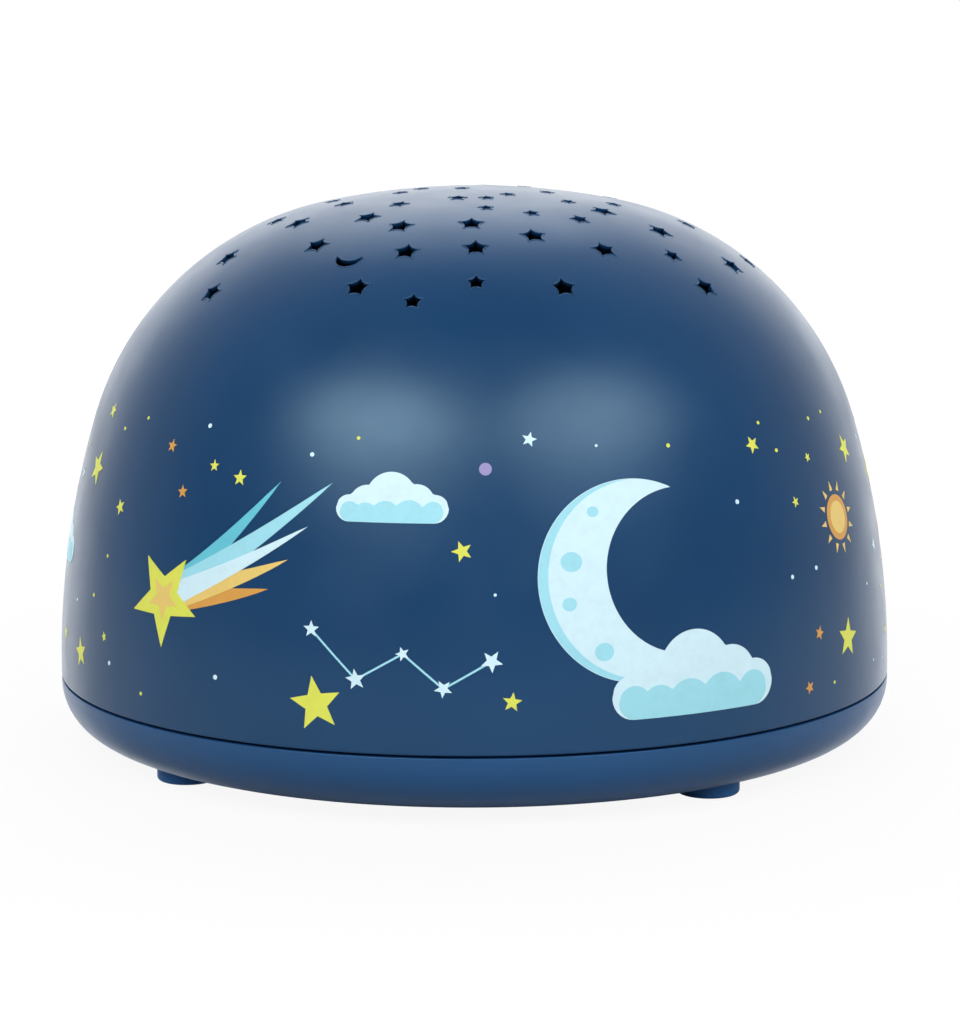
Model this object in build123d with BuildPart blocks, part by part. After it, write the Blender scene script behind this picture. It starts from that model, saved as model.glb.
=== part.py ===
from build123d import *
import os
from math import acos, atan2, cos, degrees, radians, sin, sqrt

os.makedirs("parts", exist_ok=True)

# The lamp stands on Z = 0 with its axis on +Z. The front faces -Y and the rear, with the
# button and the power inlet, faces +Y. All lengths are millimetres and all angles degrees.

# Outer form
SEAM_RADIUS = 70.0
SEAM_GAP = 0.35
SIDE_RADIUS = 145.0
SIDE_SWEEP = 17.2
SHOULDER_RADIUS = 51.6
SHOULDER_SWEEP = 61.2
BASE_HEIGHT = 9.0
BASE_EDGE_RADIUS = 8.6
RIM_LAND = 0.4
RIM_RAISE = 0.25
DOME_RIM_ROUNDING = 0.3
BASE_RIM_ROUNDING = 0.15
QUARTER_TURN = 90.0

# Shell walls and the tongue that locates the dome on the base
DOME_WALL = 2.2
BASE_WALL = 2.4
TONGUE_WALL = 1.4
TONGUE_HEIGHT = 3.5
TONGUE_ROOT = 3.0
TONGUE_CLEARANCE = 0.2

# Star and moon holes, cut square to the dome
STAR_WAIST = 0.57
STAR_POINTS = 5
HOLE_OVERCUT = 1.0
LARGE_STAR = 2.05
MEDIUM_STAR = 1.55
SMALL_STAR = 1.2
MOON_RADIUS = 2.2
MOON_CUT_RADIUS = 2.6
MOON_CUT_OFFSET = 1.75
MOON_TILT = 92.0

# Half of the star chart, as distance from the axis in plan and bearing from the front.
# The other half is the same chart turned half a turn.
LARGE_STARS = [
    (31, -26), (33, 6), (34, -49), (34, -13), (37, 21), (37, 60), (29, 52), (40, -31), (40, 7),
    (41, -8), (41, 36), (44, -57), (46, 71), (48, -15), (48, 23), (49, 54), (50, -49),
]
MEDIUM_STARS = [
    (19, -1), (24, -23), (25, -50), (32, 38), (34, -64), (36, 84), (43, 53), (46, 86), (47, 7), (50, -4),
]
SMALL_STARS = [
    (8, -7), (10, -52), (15, -46), (15, 60), (16, 27), (19, 13), (23, 48), (24, -68), (26, 11), (26, 68),
    (29, 25),
]
MOONS = [(42.6, -20)]
CHART_TURNS = [0, 180]

# Feet, and the casing screws that they hide
FOOT_HEIGHT = 2.1
FOOT_RADIUS = 5.0
FOOT_INSET = 12.0
FOOT_BEARING = 45.0
FOOT_DOOR_GAP = 1.0
FOOT_SEAT = 0.8
FOOT_CLEARANCE = 0.1
FOOT_ROUNDING = 0.6
SCREW_HEAD_RADIUS = 2.7
SCREW_HEAD_HEIGHT = 2.0
SCREW_RADIUS = 1.45
SCREW_LENGTH = 14.0
SCREW_CLEARANCE = 0.05
HEAD_CLEARANCE = 0.3
HEAD_GAP = 0.3
TUBE_WALL = 1.4
PILLAR_RADIUS = 3.6
PILLAR_HEIGHT = 24.0
PILLAR_BORE_DEPTH = 10.0
RIB_THICKNESS = 1.6
RIB_GAP = 0.6
CROSS_LENGTH = 2.6
CROSS_WIDTH = 0.6
CROSS_DEPTH = 1.0

# Battery cells, contacts and the box that holds them
CELL_DIAMETER = 14.5
CELL_LENGTH = 50.5
CELL_CLEARANCE = 0.5
CELL_EDGE = 0.6
NUB_RADIUS = 2.75
NUB_LENGTH = 1.0
CELL_COUNT = 3
CELL_ROW_Y = -2.0
BOX_WALL = 1.6
CONTACT_THICKNESS = 0.4
CONTACT_WIDTH = 9.0
CONTACT_HEIGHT = 10.0
LUG_WIDTH = 3.0
LUG_STAND = 1.5
LUG_CLEARANCE = 0.15
SPRING_LENGTH = 5.0
SPRING_WIRE = 0.4
SPRING_RADIUS = 4.0
SPRING_TIP_RADIUS = 2.8

# Battery door, its hooked hinge and its captive screw
DOOR_THICKNESS = 1.4
DOOR_LEDGE = 2.0
DOOR_CLEARANCE = 0.25
DOOR_CORNER = 2.0
HINGE_LIP = 1.0
HINGE_CLEARANCE = 0.1
HINGE_ROOM = 3.2
TAB_WIDTH = 8.0
TAB_SPACING = 36.0
TAB_REACH = 1.6
TAB_THICKNESS = 1.3
TAB_ROOT = 3.0
TAB_SIDE_CLEARANCE = 0.4
CUP_WALL = 1.4
CUP_CLEARANCE = 0.3
DOOR_SCREW_SINK = 0.6
DOOR_SCREW_RADIUS = 1.3
DOOR_SCREW_SHANK = 1.2
DOOR_SCREW_TIP_RADIUS = 0.8
DOOR_SCREW_TIP = 3.2
DOOR_BORE_CLEARANCE = 0.2
DOOR_BOSS_RISE = 5.0
DOOR_END = 6.0
GRIP_LENGTH = 16.0
GRIP_WIDTH = 1.2
GRIP_DEPTH = 0.5
GRIP_PITCH = 2.6
GRIP_COUNT = 3
GRIP_INSET = 18.0

# Inner deck that carries the light source
DECK_POST_HEIGHT = 8.0
DECK_POST_RADIUS = 3.0
DECK_POST_INSET = 8.0
DECK_THICKNESS = 1.6
DECK_GAP = 2.0
DECK_RIM_HEIGHT = 2.5
COLUMN_RADIUS = 7.0
COLUMN_HEIGHT = 12.0
COLUMN_BORE = 4.0
PLATFORM_THICKNESS = 3.5
SMALL_HEAD_RADIUS = 2.0
SMALL_HEAD_HEIGHT = 1.4
SMALL_SCREW_RADIUS = 1.0
SMALL_SCREW_LENGTH = 5.0
SMALL_BORE_DEPTH = 6.0
SMALL_CROSS_LENGTH = 1.9
SMALL_CROSS_WIDTH = 0.45
SMALL_CROSS_DEPTH = 0.7

# Light source
LED_BOARD_RADIUS = 10.0
LED_BOARD_THICKNESS = 1.6
LED_SCREW_OFFSET = 7.0
LED_SCREW_LENGTH = 3.5
EMITTER_RADIUS = 3.5
EMITTER_HEIGHT = 1.4
LENS_RADIUS = 2.6

# Main board and what stands on it
BOARD_POST_HEIGHT = 14.5
BOARD_POST_RADIUS = 3.0
BOARD_THICKNESS = 1.6
BOARD_DEPTH = 25.0
BOARD_LEFT = -20.0
BOARD_RIGHT = 22.0
BOARD_INSET = 8.0
BOARD_CORNER = 2.0
BOARD_SCREW_INSET = 3.5
REAR_SCREW_INSET = 7.0
CHIP_LENGTH = 8.6
CHIP_WIDTH = 3.9
CHIP_HEIGHT = 1.5
CHIP_STANDOFF = 0.2
CHIP_X = -9.0
CHIP_INSET = 13.0
CHIP_LEGS = 7
LEG_PITCH = 1.27
LEG_WIDTH = 0.4
LEG_THICKNESS = 0.25
LEG_REACH = 1.0
CAPACITOR_RADIUS = 3.0
CAPACITOR_HEIGHT = 6.0
CAPACITOR_X = 9.0
CAPACITOR_INSET = 9.0
CAPACITOR_EDGE = 0.5

# Push switch and the button in the rear of the dome
SWITCH_WIDTH = 6.2
SWITCH_DEPTH = 4.0
SWITCH_HEIGHT = 6.5
SWITCH_AXIS = 3.6
PLUNGER_RADIUS = 1.7
PLUNGER_REACH = 2.0
PLUNGER_INSIDE = 2.2
PLUNGER_CLEARANCE = 0.1
BUTTON_TRAVEL = 0.8
BUTTON_SPARE = 0.4
BUTTON_RADIUS = 5.5
BUTTON_CLEARANCE = 0.2
BUTTON_PROUD = 0.4
BUTTON_ROUNDING = 0.8
FLANGE_RADIUS = 6.9
FLANGE_THICKNESS = 1.2
STEM_RADIUS = 2.2
STEM_LENGTH = 2.2
GUIDE_RADIUS = 8.4
GUIDE_DEPTH = 1.4
DISH_RADIUS = 7.5
DISH_DEPTH = 0.9

# Power inlet
USB_X = 16.0
USB_WIDTH = 9.0
USB_HEIGHT = 3.3
USB_LENGTH = 7.4
USB_WALL = 0.3
USB_BACK = 1.2
USB_TONGUE_WIDTH = 6.6
USB_TONGUE_THICKNESS = 0.7
USB_TONGUE_LENGTH = 4.6
USB_SETBACK = 2.4
INLET_WIDTH = 13.0
INLET_HEIGHT = 7.2

# Wires
WIRE_RADIUS = 0.75
WIRE_BEND = 2.2
WIRE_LIFT = 4.4
LED_WIRE_OFFSET = 1.6
PAD_INSET = 3.5
BATTERY_PAD_X = 11.0
LEAD_TURN = 10.5

# Heights and radii that follow from the sizes above
base_edge = min(BASE_EDGE_RADIUS, BASE_HEIGHT - RIM_LAND)
floor_bottom = FOOT_HEIGHT
floor_top = floor_bottom + BASE_WALL
base_rim = floor_bottom + BASE_HEIGHT
bowl_rim = base_rim + RIM_RAISE
dome_rim = bowl_rim + SEAM_GAP
tongue_top = base_rim + TONGUE_HEIGHT

side_end = SIDE_SWEEP
shoulder_end = SIDE_SWEEP + SHOULDER_SWEEP
side_end_radius = SEAM_RADIUS - SIDE_RADIUS * (1 - cos(radians(side_end)))
side_end_z = dome_rim + SIDE_RADIUS * sin(radians(side_end))
shoulder_end_radius = side_end_radius - SHOULDER_RADIUS * (
    cos(radians(side_end)) - cos(radians(shoulder_end))
)
shoulder_end_z = side_end_z + SHOULDER_RADIUS * (
    sin(radians(shoulder_end)) - sin(radians(side_end))
)
crown_radius = shoulder_end_radius / cos(radians(shoulder_end))

# Cross recesses of the screws, as length, width and depth
LARGE_CROSS = (CROSS_LENGTH, CROSS_WIDTH, CROSS_DEPTH)
SMALL_CROSS = (SMALL_CROSS_LENGTH, SMALL_CROSS_WIDTH, SMALL_CROSS_DEPTH)


def wall_radius(z, inset=0.0):
    """Radius of the dome's side at height z, measured on a surface inset into the wall."""
    return SEAM_RADIUS - SIDE_RADIUS + sqrt((SIDE_RADIUS - inset) ** 2 - (z - dome_rim) ** 2)


def dome_plane(plan_radius, bearing):
    """Plane touching the dome, with its local up pointing to the top of the dome."""
    if plan_radius > side_end_radius:
        lean = acos(1 - (SEAM_RADIUS - plan_radius) / SIDE_RADIUS)
        z = dome_rim + SIDE_RADIUS * sin(lean)
    elif plan_radius > shoulder_end_radius:
        lean = acos(cos(radians(side_end)) - (side_end_radius - plan_radius) / SHOULDER_RADIUS)
        z = side_end_z + SHOULDER_RADIUS * (sin(lean) - sin(radians(side_end)))
    else:
        lean = acos(plan_radius / crown_radius)
        z = shoulder_end_z + crown_radius * (sin(lean) - sin(radians(shoulder_end)))
    outward = Vector(sin(radians(bearing)), -cos(radians(bearing)), 0)
    normal = outward * cos(lean) + Vector(0, 0, 1) * sin(lean)
    across = Vector(cos(radians(bearing)), sin(radians(bearing)), 0)
    return Plane(origin=outward * plan_radius + Vector(0, 0, z), x_dir=across, z_dir=normal)


def chart_planes(chart):
    """Planes of every hole in a chart, in each half of the dome."""
    return [dome_plane(radius, bearing + turn) for turn in CHART_TURNS for radius, bearing in chart]


def cut_stars(chart, tip_radius):
    """Cut five-pointed stars with hollow sides through the wall of the active part."""
    step = 360 / STAR_POINTS
    tips = [Vector(0, tip_radius).rotate(Axis.Z, step * n) for n in range(STAR_POINTS + 1)]
    waists = [
        Vector(0, tip_radius * STAR_WAIST).rotate(Axis.Z, step * (n + 0.5)) for n in range(STAR_POINTS)
    ]
    with BuildSketch(*[plane.offset(HOLE_OVERCUT) for plane in chart_planes(chart)]) as stars:
        with BuildLine():
            for n in range(STAR_POINTS):
                ThreePointArc(tips[n], waists[n], tips[n + 1])
        make_face()
    extrude(stars.sketch, amount=-(DOME_WALL + 2 * HOLE_OVERCUT), mode=Mode.SUBTRACT)


def draw_dome(inset, mode=Mode.ADD):
    """Half section of the dome, inset into its wall: side, shoulder and crown arcs."""
    with BuildLine() as outline:
        side = JernArc((SEAM_RADIUS - inset, dome_rim), (0, 1), SIDE_RADIUS - inset, SIDE_SWEEP)
        shoulder = JernArc(side @ 1, side % 1, SHOULDER_RADIUS - inset, SHOULDER_SWEEP)
        crown = JernArc(shoulder @ 1, shoulder % 1, crown_radius - inset, QUARTER_TURN - shoulder_end)
        Polyline(crown @ 1, (0, dome_rim), side @ 0)
    make_face(outline.edges(), mode=mode)


def draw_bowl(inset, mode=Mode.ADD):
    """Half section of the base, inset into its wall: floor, rounded edge and rim."""
    with BuildLine() as outline:
        floor = Line((0, floor_bottom + inset), (SEAM_RADIUS - base_edge, floor_bottom + inset))
        edge = JernArc(floor @ 1, (1, 0), base_edge - inset, QUARTER_TURN)
        side = Line(edge @ 1, (SEAM_RADIUS - inset, bowl_rim))
        Polyline(side @ 1, (0, bowl_rim), floor @ 0)
    make_face(outline.edges(), mode=mode)


def draw_block(x_from, x_to, y_from, y_to, mode=Mode.ADD):
    """Rectangle between two corners in the active sketch."""
    with Locations(((x_from + x_to) / 2, (y_from + y_to) / 2)):
        Rectangle(x_to - x_from, y_to - y_from, mode=mode)


def add_screws(seats, head_radius, head_height, radius, length, cross):
    """Cross-head screws in the active part, seated on planes that look out of their heads."""
    cross_length, cross_width, cross_depth = cross
    with BuildSketch(*seats) as heads:
        Circle(head_radius)
    extrude(heads.sketch, amount=head_height)
    with BuildSketch(*seats) as shanks:
        Circle(radius)
    extrude(shanks.sketch, amount=-length)
    with BuildSketch(*[seat.offset(head_height) for seat in seats]) as crosses:
        Rectangle(cross_length, cross_width)
        Rectangle(cross_width, cross_length)
    extrude(crosses.sketch, amount=-cross_depth, mode=Mode.SUBTRACT)


def add_small_screws(places, seat_z, length):
    """Small cross-head screws in the active part, driven down at the given places."""
    seats = [Plane(origin=(x, y, seat_z)) for x, y in places]
    add_screws(seats, SMALL_HEAD_RADIUS, SMALL_HEAD_HEIGHT, SMALL_SCREW_RADIUS, length, SMALL_CROSS)


def add_wire(points):
    """Insulated wire along straight runs and tangent bends, in the active part."""
    with BuildLine() as route:
        FilletPolyline(*points, radius=WIRE_BEND)
    with BuildSketch(Plane(origin=route.line @ 0, z_dir=route.line % 0)) as section:
        Circle(WIRE_RADIUS)
    sweep(section.sketch, path=route.line)


def finish(name, piece):
    """Label a finished piece and write it to its own file."""
    piece.part.label = name
    export_step(piece.part, f"parts/{name}.step")


# Battery row, box and door
cell_radius = CELL_DIAMETER / 2
cell_pitch = CELL_DIAMETER + CELL_CLEARANCE
door_top = floor_bottom + DOOR_THICKNESS
cell_z = door_top + CELL_CLEARANCE + cell_radius
cell_rows = [CELL_ROW_Y + cell_pitch * (n - (CELL_COUNT - 1) / 2) for n in range(CELL_COUNT)]
ceiling = cell_z + cell_radius + CELL_CLEARANCE
box_top = ceiling + BOX_WALL
box_end = (CELL_LENGTH + SPRING_LENGTH) / 2 + CONTACT_THICKNESS
opening_front = cell_rows[0] - cell_pitch / 2
box_front = opening_front - HINGE_ROOM
box_rear = cell_rows[-1] + cell_pitch / 2
hinge_y = opening_front - HINGE_LIP / 2
hinge_z = floor_bottom + HINGE_LIP / 2
hinge_bore = HINGE_LIP / 2 + HINGE_CLEARANCE
tab_centres = [-TAB_SPACING / 2, TAB_SPACING / 2]

cup_bore = SCREW_HEAD_RADIUS + HEAD_CLEARANCE
cup_radius = cup_bore + CUP_WALL
boss_bore = cup_radius + CUP_CLEARANCE
boss_radius = boss_bore + BOX_WALL
door_screw_y = box_rear + BOX_WALL + boss_bore
door_screw_seat = floor_bottom + DOOR_SCREW_SINK + SCREW_HEAD_HEIGHT
cup_top = door_screw_seat + CUP_WALL
boss_mouth = cup_top + CUP_CLEARANCE
boss_top = boss_mouth + DOOR_BOSS_RISE
recess_end = box_end + DOOR_LEDGE
recess_rear = door_screw_y + DOOR_END

# Places of the feet, clear of the door, and of the casing screws above them
foot_ring = SEAM_RADIUS - FOOT_INSET
foot_x = max(foot_ring * cos(radians(FOOT_BEARING)), recess_end + FOOT_RADIUS + FOOT_DOOR_GAP)
foot_y = sqrt(foot_ring**2 - foot_x**2)
FEET = {
    "foot_front_left": (-foot_x, -foot_y),
    "foot_front_right": (foot_x, -foot_y),
    "foot_rear_left": (-foot_x, foot_y),
    "foot_rear_right": (foot_x, foot_y),
}
foot_top = floor_bottom + FOOT_SEAT
screw_seat = foot_top + SCREW_HEAD_HEIGHT + HEAD_GAP
head_bore = SCREW_HEAD_RADIUS + HEAD_CLEARANCE
tube_radius = head_bore + TUBE_WALL
screw_bore = SCREW_RADIUS + SCREW_CLEARANCE
rib_foot = tongue_top + RIB_GAP
rib_reach = (1 + SEAM_RADIUS / foot_ring) / 2
rib_places = [
    Location((x * rib_reach, y * rib_reach, 0), (0, 0, degrees(atan2(y, x)))) for x, y in FEET.values()
]
pillar_top = dome_rim + PILLAR_HEIGHT

# Deck and light source
deck_z = box_top + DECK_POST_HEIGHT
deck_top = deck_z + DECK_THICKNESS
deck_radius = foot_ring - PILLAR_RADIUS - DECK_GAP
column_top = deck_top + COLUMN_HEIGHT
led_board_top = column_top + LED_BOARD_THICKNESS
emitter_top = led_board_top + EMITTER_HEIGHT
post_x = box_end - DECK_POST_INSET
deck_posts = [
    (x, y) for x in (-post_x, post_x) for y in (box_front + DECK_POST_RADIUS, box_rear - DECK_POST_RADIUS)
]
led_screws = [(-LED_SCREW_OFFSET, 0), (LED_SCREW_OFFSET, 0)]

# Main board, switch, button and inlet
board_z = floor_top + BOARD_POST_HEIGHT
board_top = board_z + BOARD_THICKNESS
board_rear = SEAM_RADIUS - BOARD_INSET
board_front = board_rear - BOARD_DEPTH
chip_y = board_front + CHIP_INSET
capacitor_y = board_front + CAPACITOR_INSET
board_posts = [
    (BOARD_LEFT + BOARD_SCREW_INSET, board_front + BOARD_SCREW_INSET),
    (BOARD_RIGHT - BOARD_SCREW_INSET, board_front + BOARD_SCREW_INSET),
    (BOARD_LEFT + BOARD_SCREW_INSET, board_rear - REAR_SCREW_INSET),
]
button_z = board_top + SWITCH_AXIS
button_wall = wall_radius(button_z)
dish_floor = button_wall - DISH_DEPTH
guide_seat = wall_radius(button_z, DOME_WALL) - GUIDE_DEPTH
button_end = button_wall + BUTTON_PROUD
stem_end = guide_seat - FLANGE_THICKNESS - STEM_LENGTH
switch_rear = stem_end - PLUNGER_REACH
usb_z = board_top + USB_HEIGHT / 2
usb_mouth = sqrt(wall_radius(usb_z) ** 2 - USB_X**2) - USB_SETBACK

# Dome shell: guide ring and pillar ribs trimmed to the dome, then the wall, pillars and holes
with BuildPart() as dome_shell:
    with BuildSketch(Plane.XY.offset(rib_foot)):
        with Locations(*rib_places):
            Rectangle(SEAM_RADIUS - foot_ring, RIB_THICKNESS)
    extrude(amount=pillar_top - rib_foot)
    with BuildSketch(Plane.XZ.offset(-guide_seat)):
        with Locations((0, button_z)):
            Circle(GUIDE_RADIUS)
    extrude(amount=-(SEAM_RADIUS - guide_seat))
    with BuildSketch(Plane.XZ):
        draw_dome(0)
    revolve(axis=Axis.Z, mode=Mode.INTERSECT)
    with BuildSketch(Plane.XZ):
        draw_dome(0)
        draw_dome(DOME_WALL, Mode.SUBTRACT)
    revolve(axis=Axis.Z)
    rim_edges = dome_shell.edges().filter_by(GeomType.CIRCLE).group_by(Axis.Z)[0]
    fillet(rim_edges.sort_by(SortBy.RADIUS)[-1], DOME_RIM_ROUNDING)
    with BuildSketch(Plane.XY.offset(base_rim)):
        with Locations(*FEET.values()):
            Circle(PILLAR_RADIUS)
    extrude(amount=pillar_top - base_rim)
    with BuildSketch(Plane.XY.offset(base_rim)):
        with Locations(*FEET.values()):
            Circle(screw_bore)
    extrude(amount=PILLAR_BORE_DEPTH, mode=Mode.SUBTRACT)
    with BuildSketch(Plane.XZ.offset(-dish_floor)):
        with Locations((0, button_z)):
            Circle(DISH_RADIUS)
    extrude(amount=-DISH_RADIUS, mode=Mode.SUBTRACT)
    with BuildSketch(Plane.XZ.offset(-guide_seat)):
        with Locations((0, button_z)):
            Circle(BUTTON_RADIUS + BUTTON_CLEARANCE)
    extrude(amount=-(SEAM_RADIUS - guide_seat), mode=Mode.SUBTRACT)
    with BuildSketch(Plane.XZ.offset(-(usb_mouth - USB_LENGTH))):
        with Locations((USB_X, usb_z)):
            SlotOverall(INLET_WIDTH, INLET_HEIGHT)
    extrude(amount=-SEAM_RADIUS, mode=Mode.SUBTRACT)
    cut_stars(LARGE_STARS, LARGE_STAR)
    cut_stars(MEDIUM_STARS, MEDIUM_STAR)
    cut_stars(SMALL_STARS, SMALL_STAR)
    with BuildSketch(*[plane.offset(HOLE_OVERCUT) for plane in chart_planes(MOONS)]):
        Circle(MOON_RADIUS)
        with Locations(Vector(MOON_CUT_OFFSET, 0).rotate(Axis.Z, MOON_TILT)):
            Circle(MOON_CUT_RADIUS, mode=Mode.SUBTRACT)
    extrude(amount=-(DOME_WALL + 2 * HOLE_OVERCUT), mode=Mode.SUBTRACT)
finish("dome_shell", dome_shell)

# Base shell: bowl, tongue, battery box, tubes, posts and the seats of feet, screws and door
tongue_radius = wall_radius(tongue_top, DOME_WALL) - TONGUE_CLEARANCE
with BuildPart() as base_shell:
    with BuildSketch(Plane.XZ):
        draw_bowl(0)
        draw_bowl(BASE_WALL, Mode.SUBTRACT)
    revolve(axis=Axis.Z)
    rim_edges = base_shell.edges().filter_by(GeomType.CIRCLE).group_by(Axis.Z)[-1]
    fillet(rim_edges.sort_by(SortBy.RADIUS)[-1], BASE_RIM_ROUNDING)
    with BuildSketch(Plane.XZ):
        draw_block(tongue_radius - TONGUE_WALL, tongue_radius, base_rim, tongue_top)
        draw_block(tongue_radius - TONGUE_WALL, SEAM_RADIUS - BASE_WALL / 2, base_rim - TONGUE_ROOT, bowl_rim)
    revolve(axis=Axis.Z)
    with BuildSketch(Plane.XY.offset(floor_top)):
        draw_block(-box_end - BOX_WALL, box_end + BOX_WALL, box_front - BOX_WALL, box_rear + BOX_WALL)
    extrude(amount=box_top - floor_top)
    with BuildSketch(Plane.XY.offset(box_top)):
        with Locations(*deck_posts):
            Circle(DECK_POST_RADIUS)
    extrude(amount=DECK_POST_HEIGHT)
    with BuildSketch(Plane.XY.offset(floor_top)):
        with Locations(*board_posts):
            Circle(BOARD_POST_RADIUS)
    extrude(amount=BOARD_POST_HEIGHT)
    with BuildSketch(Plane.XY.offset(floor_top)):
        with Locations((0, door_screw_y)):
            Circle(boss_radius)
    extrude(amount=boss_top - floor_top)
    with BuildSketch(Plane.XY.offset(screw_seat - SCREW_HEAD_HEIGHT)):
        with Locations(*FEET.values()):
            Circle(tube_radius)
    extrude(amount=base_rim - screw_seat + SCREW_HEAD_HEIGHT)
    with BuildSketch(Plane.XY.offset(floor_top)):
        draw_block(-box_end, box_end, box_front, box_rear)
    extrude(amount=ceiling - floor_top, mode=Mode.SUBTRACT)
    with BuildSketch(Plane.XY.offset(floor_bottom)):
        draw_block(-box_end, box_end, opening_front, box_rear)
    extrude(amount=BASE_WALL, mode=Mode.SUBTRACT)
    with BuildSketch(Plane.XY.offset(floor_bottom)):
        draw_block(-recess_end, recess_end, opening_front, recess_rear)
    extrude(amount=DOOR_THICKNESS, mode=Mode.SUBTRACT)
    with BuildSketch(*[Plane.YZ.offset(x) for x in tab_centres]):
        draw_block(box_front, opening_front, floor_bottom, floor_top)
        draw_block(box_front, hinge_y, floor_bottom, floor_bottom + HINGE_LIP, Mode.SUBTRACT)
        with Locations((hinge_y, hinge_z)):
            Circle(HINGE_LIP / 2, mode=Mode.SUBTRACT)
    extrude(amount=TAB_WIDTH / 2 + TAB_SIDE_CLEARANCE, both=True, mode=Mode.SUBTRACT)
    with BuildSketch(Plane.XY.offset(floor_bottom)):
        with Locations((0, door_screw_y)):
            Circle(boss_bore)
    extrude(amount=boss_mouth - floor_bottom, mode=Mode.SUBTRACT)
    with BuildSketch(Plane.XY.offset(boss_mouth)):
        with Locations((0, door_screw_y)):
            Circle(DOOR_SCREW_RADIUS + DOOR_BORE_CLEARANCE)
    extrude(amount=DOOR_BOSS_RISE, mode=Mode.SUBTRACT)
    with BuildSketch(Plane.XY.offset(floor_bottom)):
        with Locations(*FEET.values()):
            Circle(FOOT_RADIUS + FOOT_CLEARANCE)
    extrude(amount=FOOT_SEAT, mode=Mode.SUBTRACT)
    with BuildSketch(Plane.XY.offset(foot_top)):
        with Locations(*FEET.values()):
            Circle(head_bore)
    extrude(amount=screw_seat - foot_top, mode=Mode.SUBTRACT)
    with BuildSketch(Plane.XY.offset(screw_seat)):
        with Locations(*FEET.values()):
            Circle(screw_bore)
    extrude(amount=base_rim - screw_seat, mode=Mode.SUBTRACT)
    with BuildSketch(Plane.XY.offset(box_top + DECK_POST_HEIGHT)):
        with Locations(*deck_posts):
            Circle(SMALL_SCREW_RADIUS + SCREW_CLEARANCE)
    extrude(amount=-SMALL_BORE_DEPTH, mode=Mode.SUBTRACT)
    with BuildSketch(Plane.XY.offset(board_z)):
        with Locations(*board_posts):
            Circle(SMALL_SCREW_RADIUS + SCREW_CLEARANCE)
    extrude(amount=-SMALL_BORE_DEPTH, mode=Mode.SUBTRACT)
    with BuildSketch(Plane.XY.offset(ceiling)):
        for x, y in ((-box_end, cell_rows[0]), (box_end, cell_rows[-1])):
            with Locations((x, y)):
                Rectangle(2 * (CONTACT_THICKNESS + LUG_CLEARANCE), LUG_WIDTH + 2 * LUG_CLEARANCE)
    extrude(amount=BOX_WALL, mode=Mode.SUBTRACT)
finish("base_shell", base_shell)

# Feet: rounded pads, each in its own seat
for name, place in FEET.items():
    with BuildPart() as foot:
        with BuildSketch():
            with Locations(place):
                Circle(FOOT_RADIUS)
        extrude(amount=foot_top)
        fillet(foot.edges().group_by(Axis.Z)[0], FOOT_ROUNDING)
    finish(name, foot)

# Casing screws, up through the base into the pillars of the dome
with BuildPart() as casing_screws:
    seats = [Plane(origin=(x, y, screw_seat), z_dir=(0, 0, -1)) for x, y in FEET.values()]
    add_screws(seats, SCREW_HEAD_RADIUS, SCREW_HEAD_HEIGHT, SCREW_RADIUS, SCREW_LENGTH, LARGE_CROSS)
finish("casing_screws", casing_screws)

# Battery door: plate, screw cup, grip grooves and the two hooks of its hinge
with BuildPart() as battery_door:
    with BuildSketch(Plane.XY.offset(floor_bottom)):
        draw_block(
            DOOR_CLEARANCE - recess_end,
            recess_end - DOOR_CLEARANCE,
            opening_front + DOOR_CLEARANCE,
            recess_rear - DOOR_CLEARANCE,
        )
    extrude(amount=DOOR_THICKNESS)
    fillet(battery_door.edges().filter_by(Axis.Z).group_by(Axis.Y)[-1], DOOR_CORNER)
    with BuildSketch(Plane.XY.offset(floor_bottom)):
        with Locations((0, door_screw_y)):
            Circle(cup_radius)
    extrude(amount=cup_top - floor_bottom)
    with BuildSketch(Plane.XY.offset(floor_bottom)):
        with Locations((0, door_screw_y)):
            Circle(cup_bore)
    extrude(amount=door_screw_seat - floor_bottom, mode=Mode.SUBTRACT)
    with BuildSketch(Plane.XY.offset(door_screw_seat)):
        with Locations((0, door_screw_y)):
            Circle(DOOR_SCREW_RADIUS + SCREW_CLEARANCE)
    extrude(amount=CUP_WALL, mode=Mode.SUBTRACT)
    with BuildSketch(*[Plane.YZ.offset(x) for x in tab_centres]):
        with BuildLine():
            Polyline((hinge_y + hinge_bore, floor_bottom), (hinge_y + hinge_bore, hinge_z))
            CenterArc((hinge_y, hinge_z), hinge_bore, 0, QUARTER_TURN)
            Polyline(
                (hinge_y, hinge_z + hinge_bore),
                (hinge_y - TAB_REACH, hinge_z + hinge_bore),
                (hinge_y - TAB_REACH, hinge_z + hinge_bore + TAB_THICKNESS),
                (hinge_y + TAB_ROOT, hinge_z + hinge_bore + TAB_THICKNESS),
                (hinge_y + TAB_ROOT, floor_bottom),
                (hinge_y + hinge_bore, floor_bottom),
            )
        make_face()
    extrude(amount=TAB_WIDTH / 2, both=True)
    with BuildSketch(Plane.XY.offset(floor_bottom)):
        with Locations((0, door_screw_y - GRIP_INSET)):
            with GridLocations(0, GRIP_PITCH, 1, GRIP_COUNT):
                SlotOverall(GRIP_LENGTH, GRIP_WIDTH)
    extrude(amount=GRIP_DEPTH, mode=Mode.SUBTRACT)
finish("battery_door", battery_door)

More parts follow.
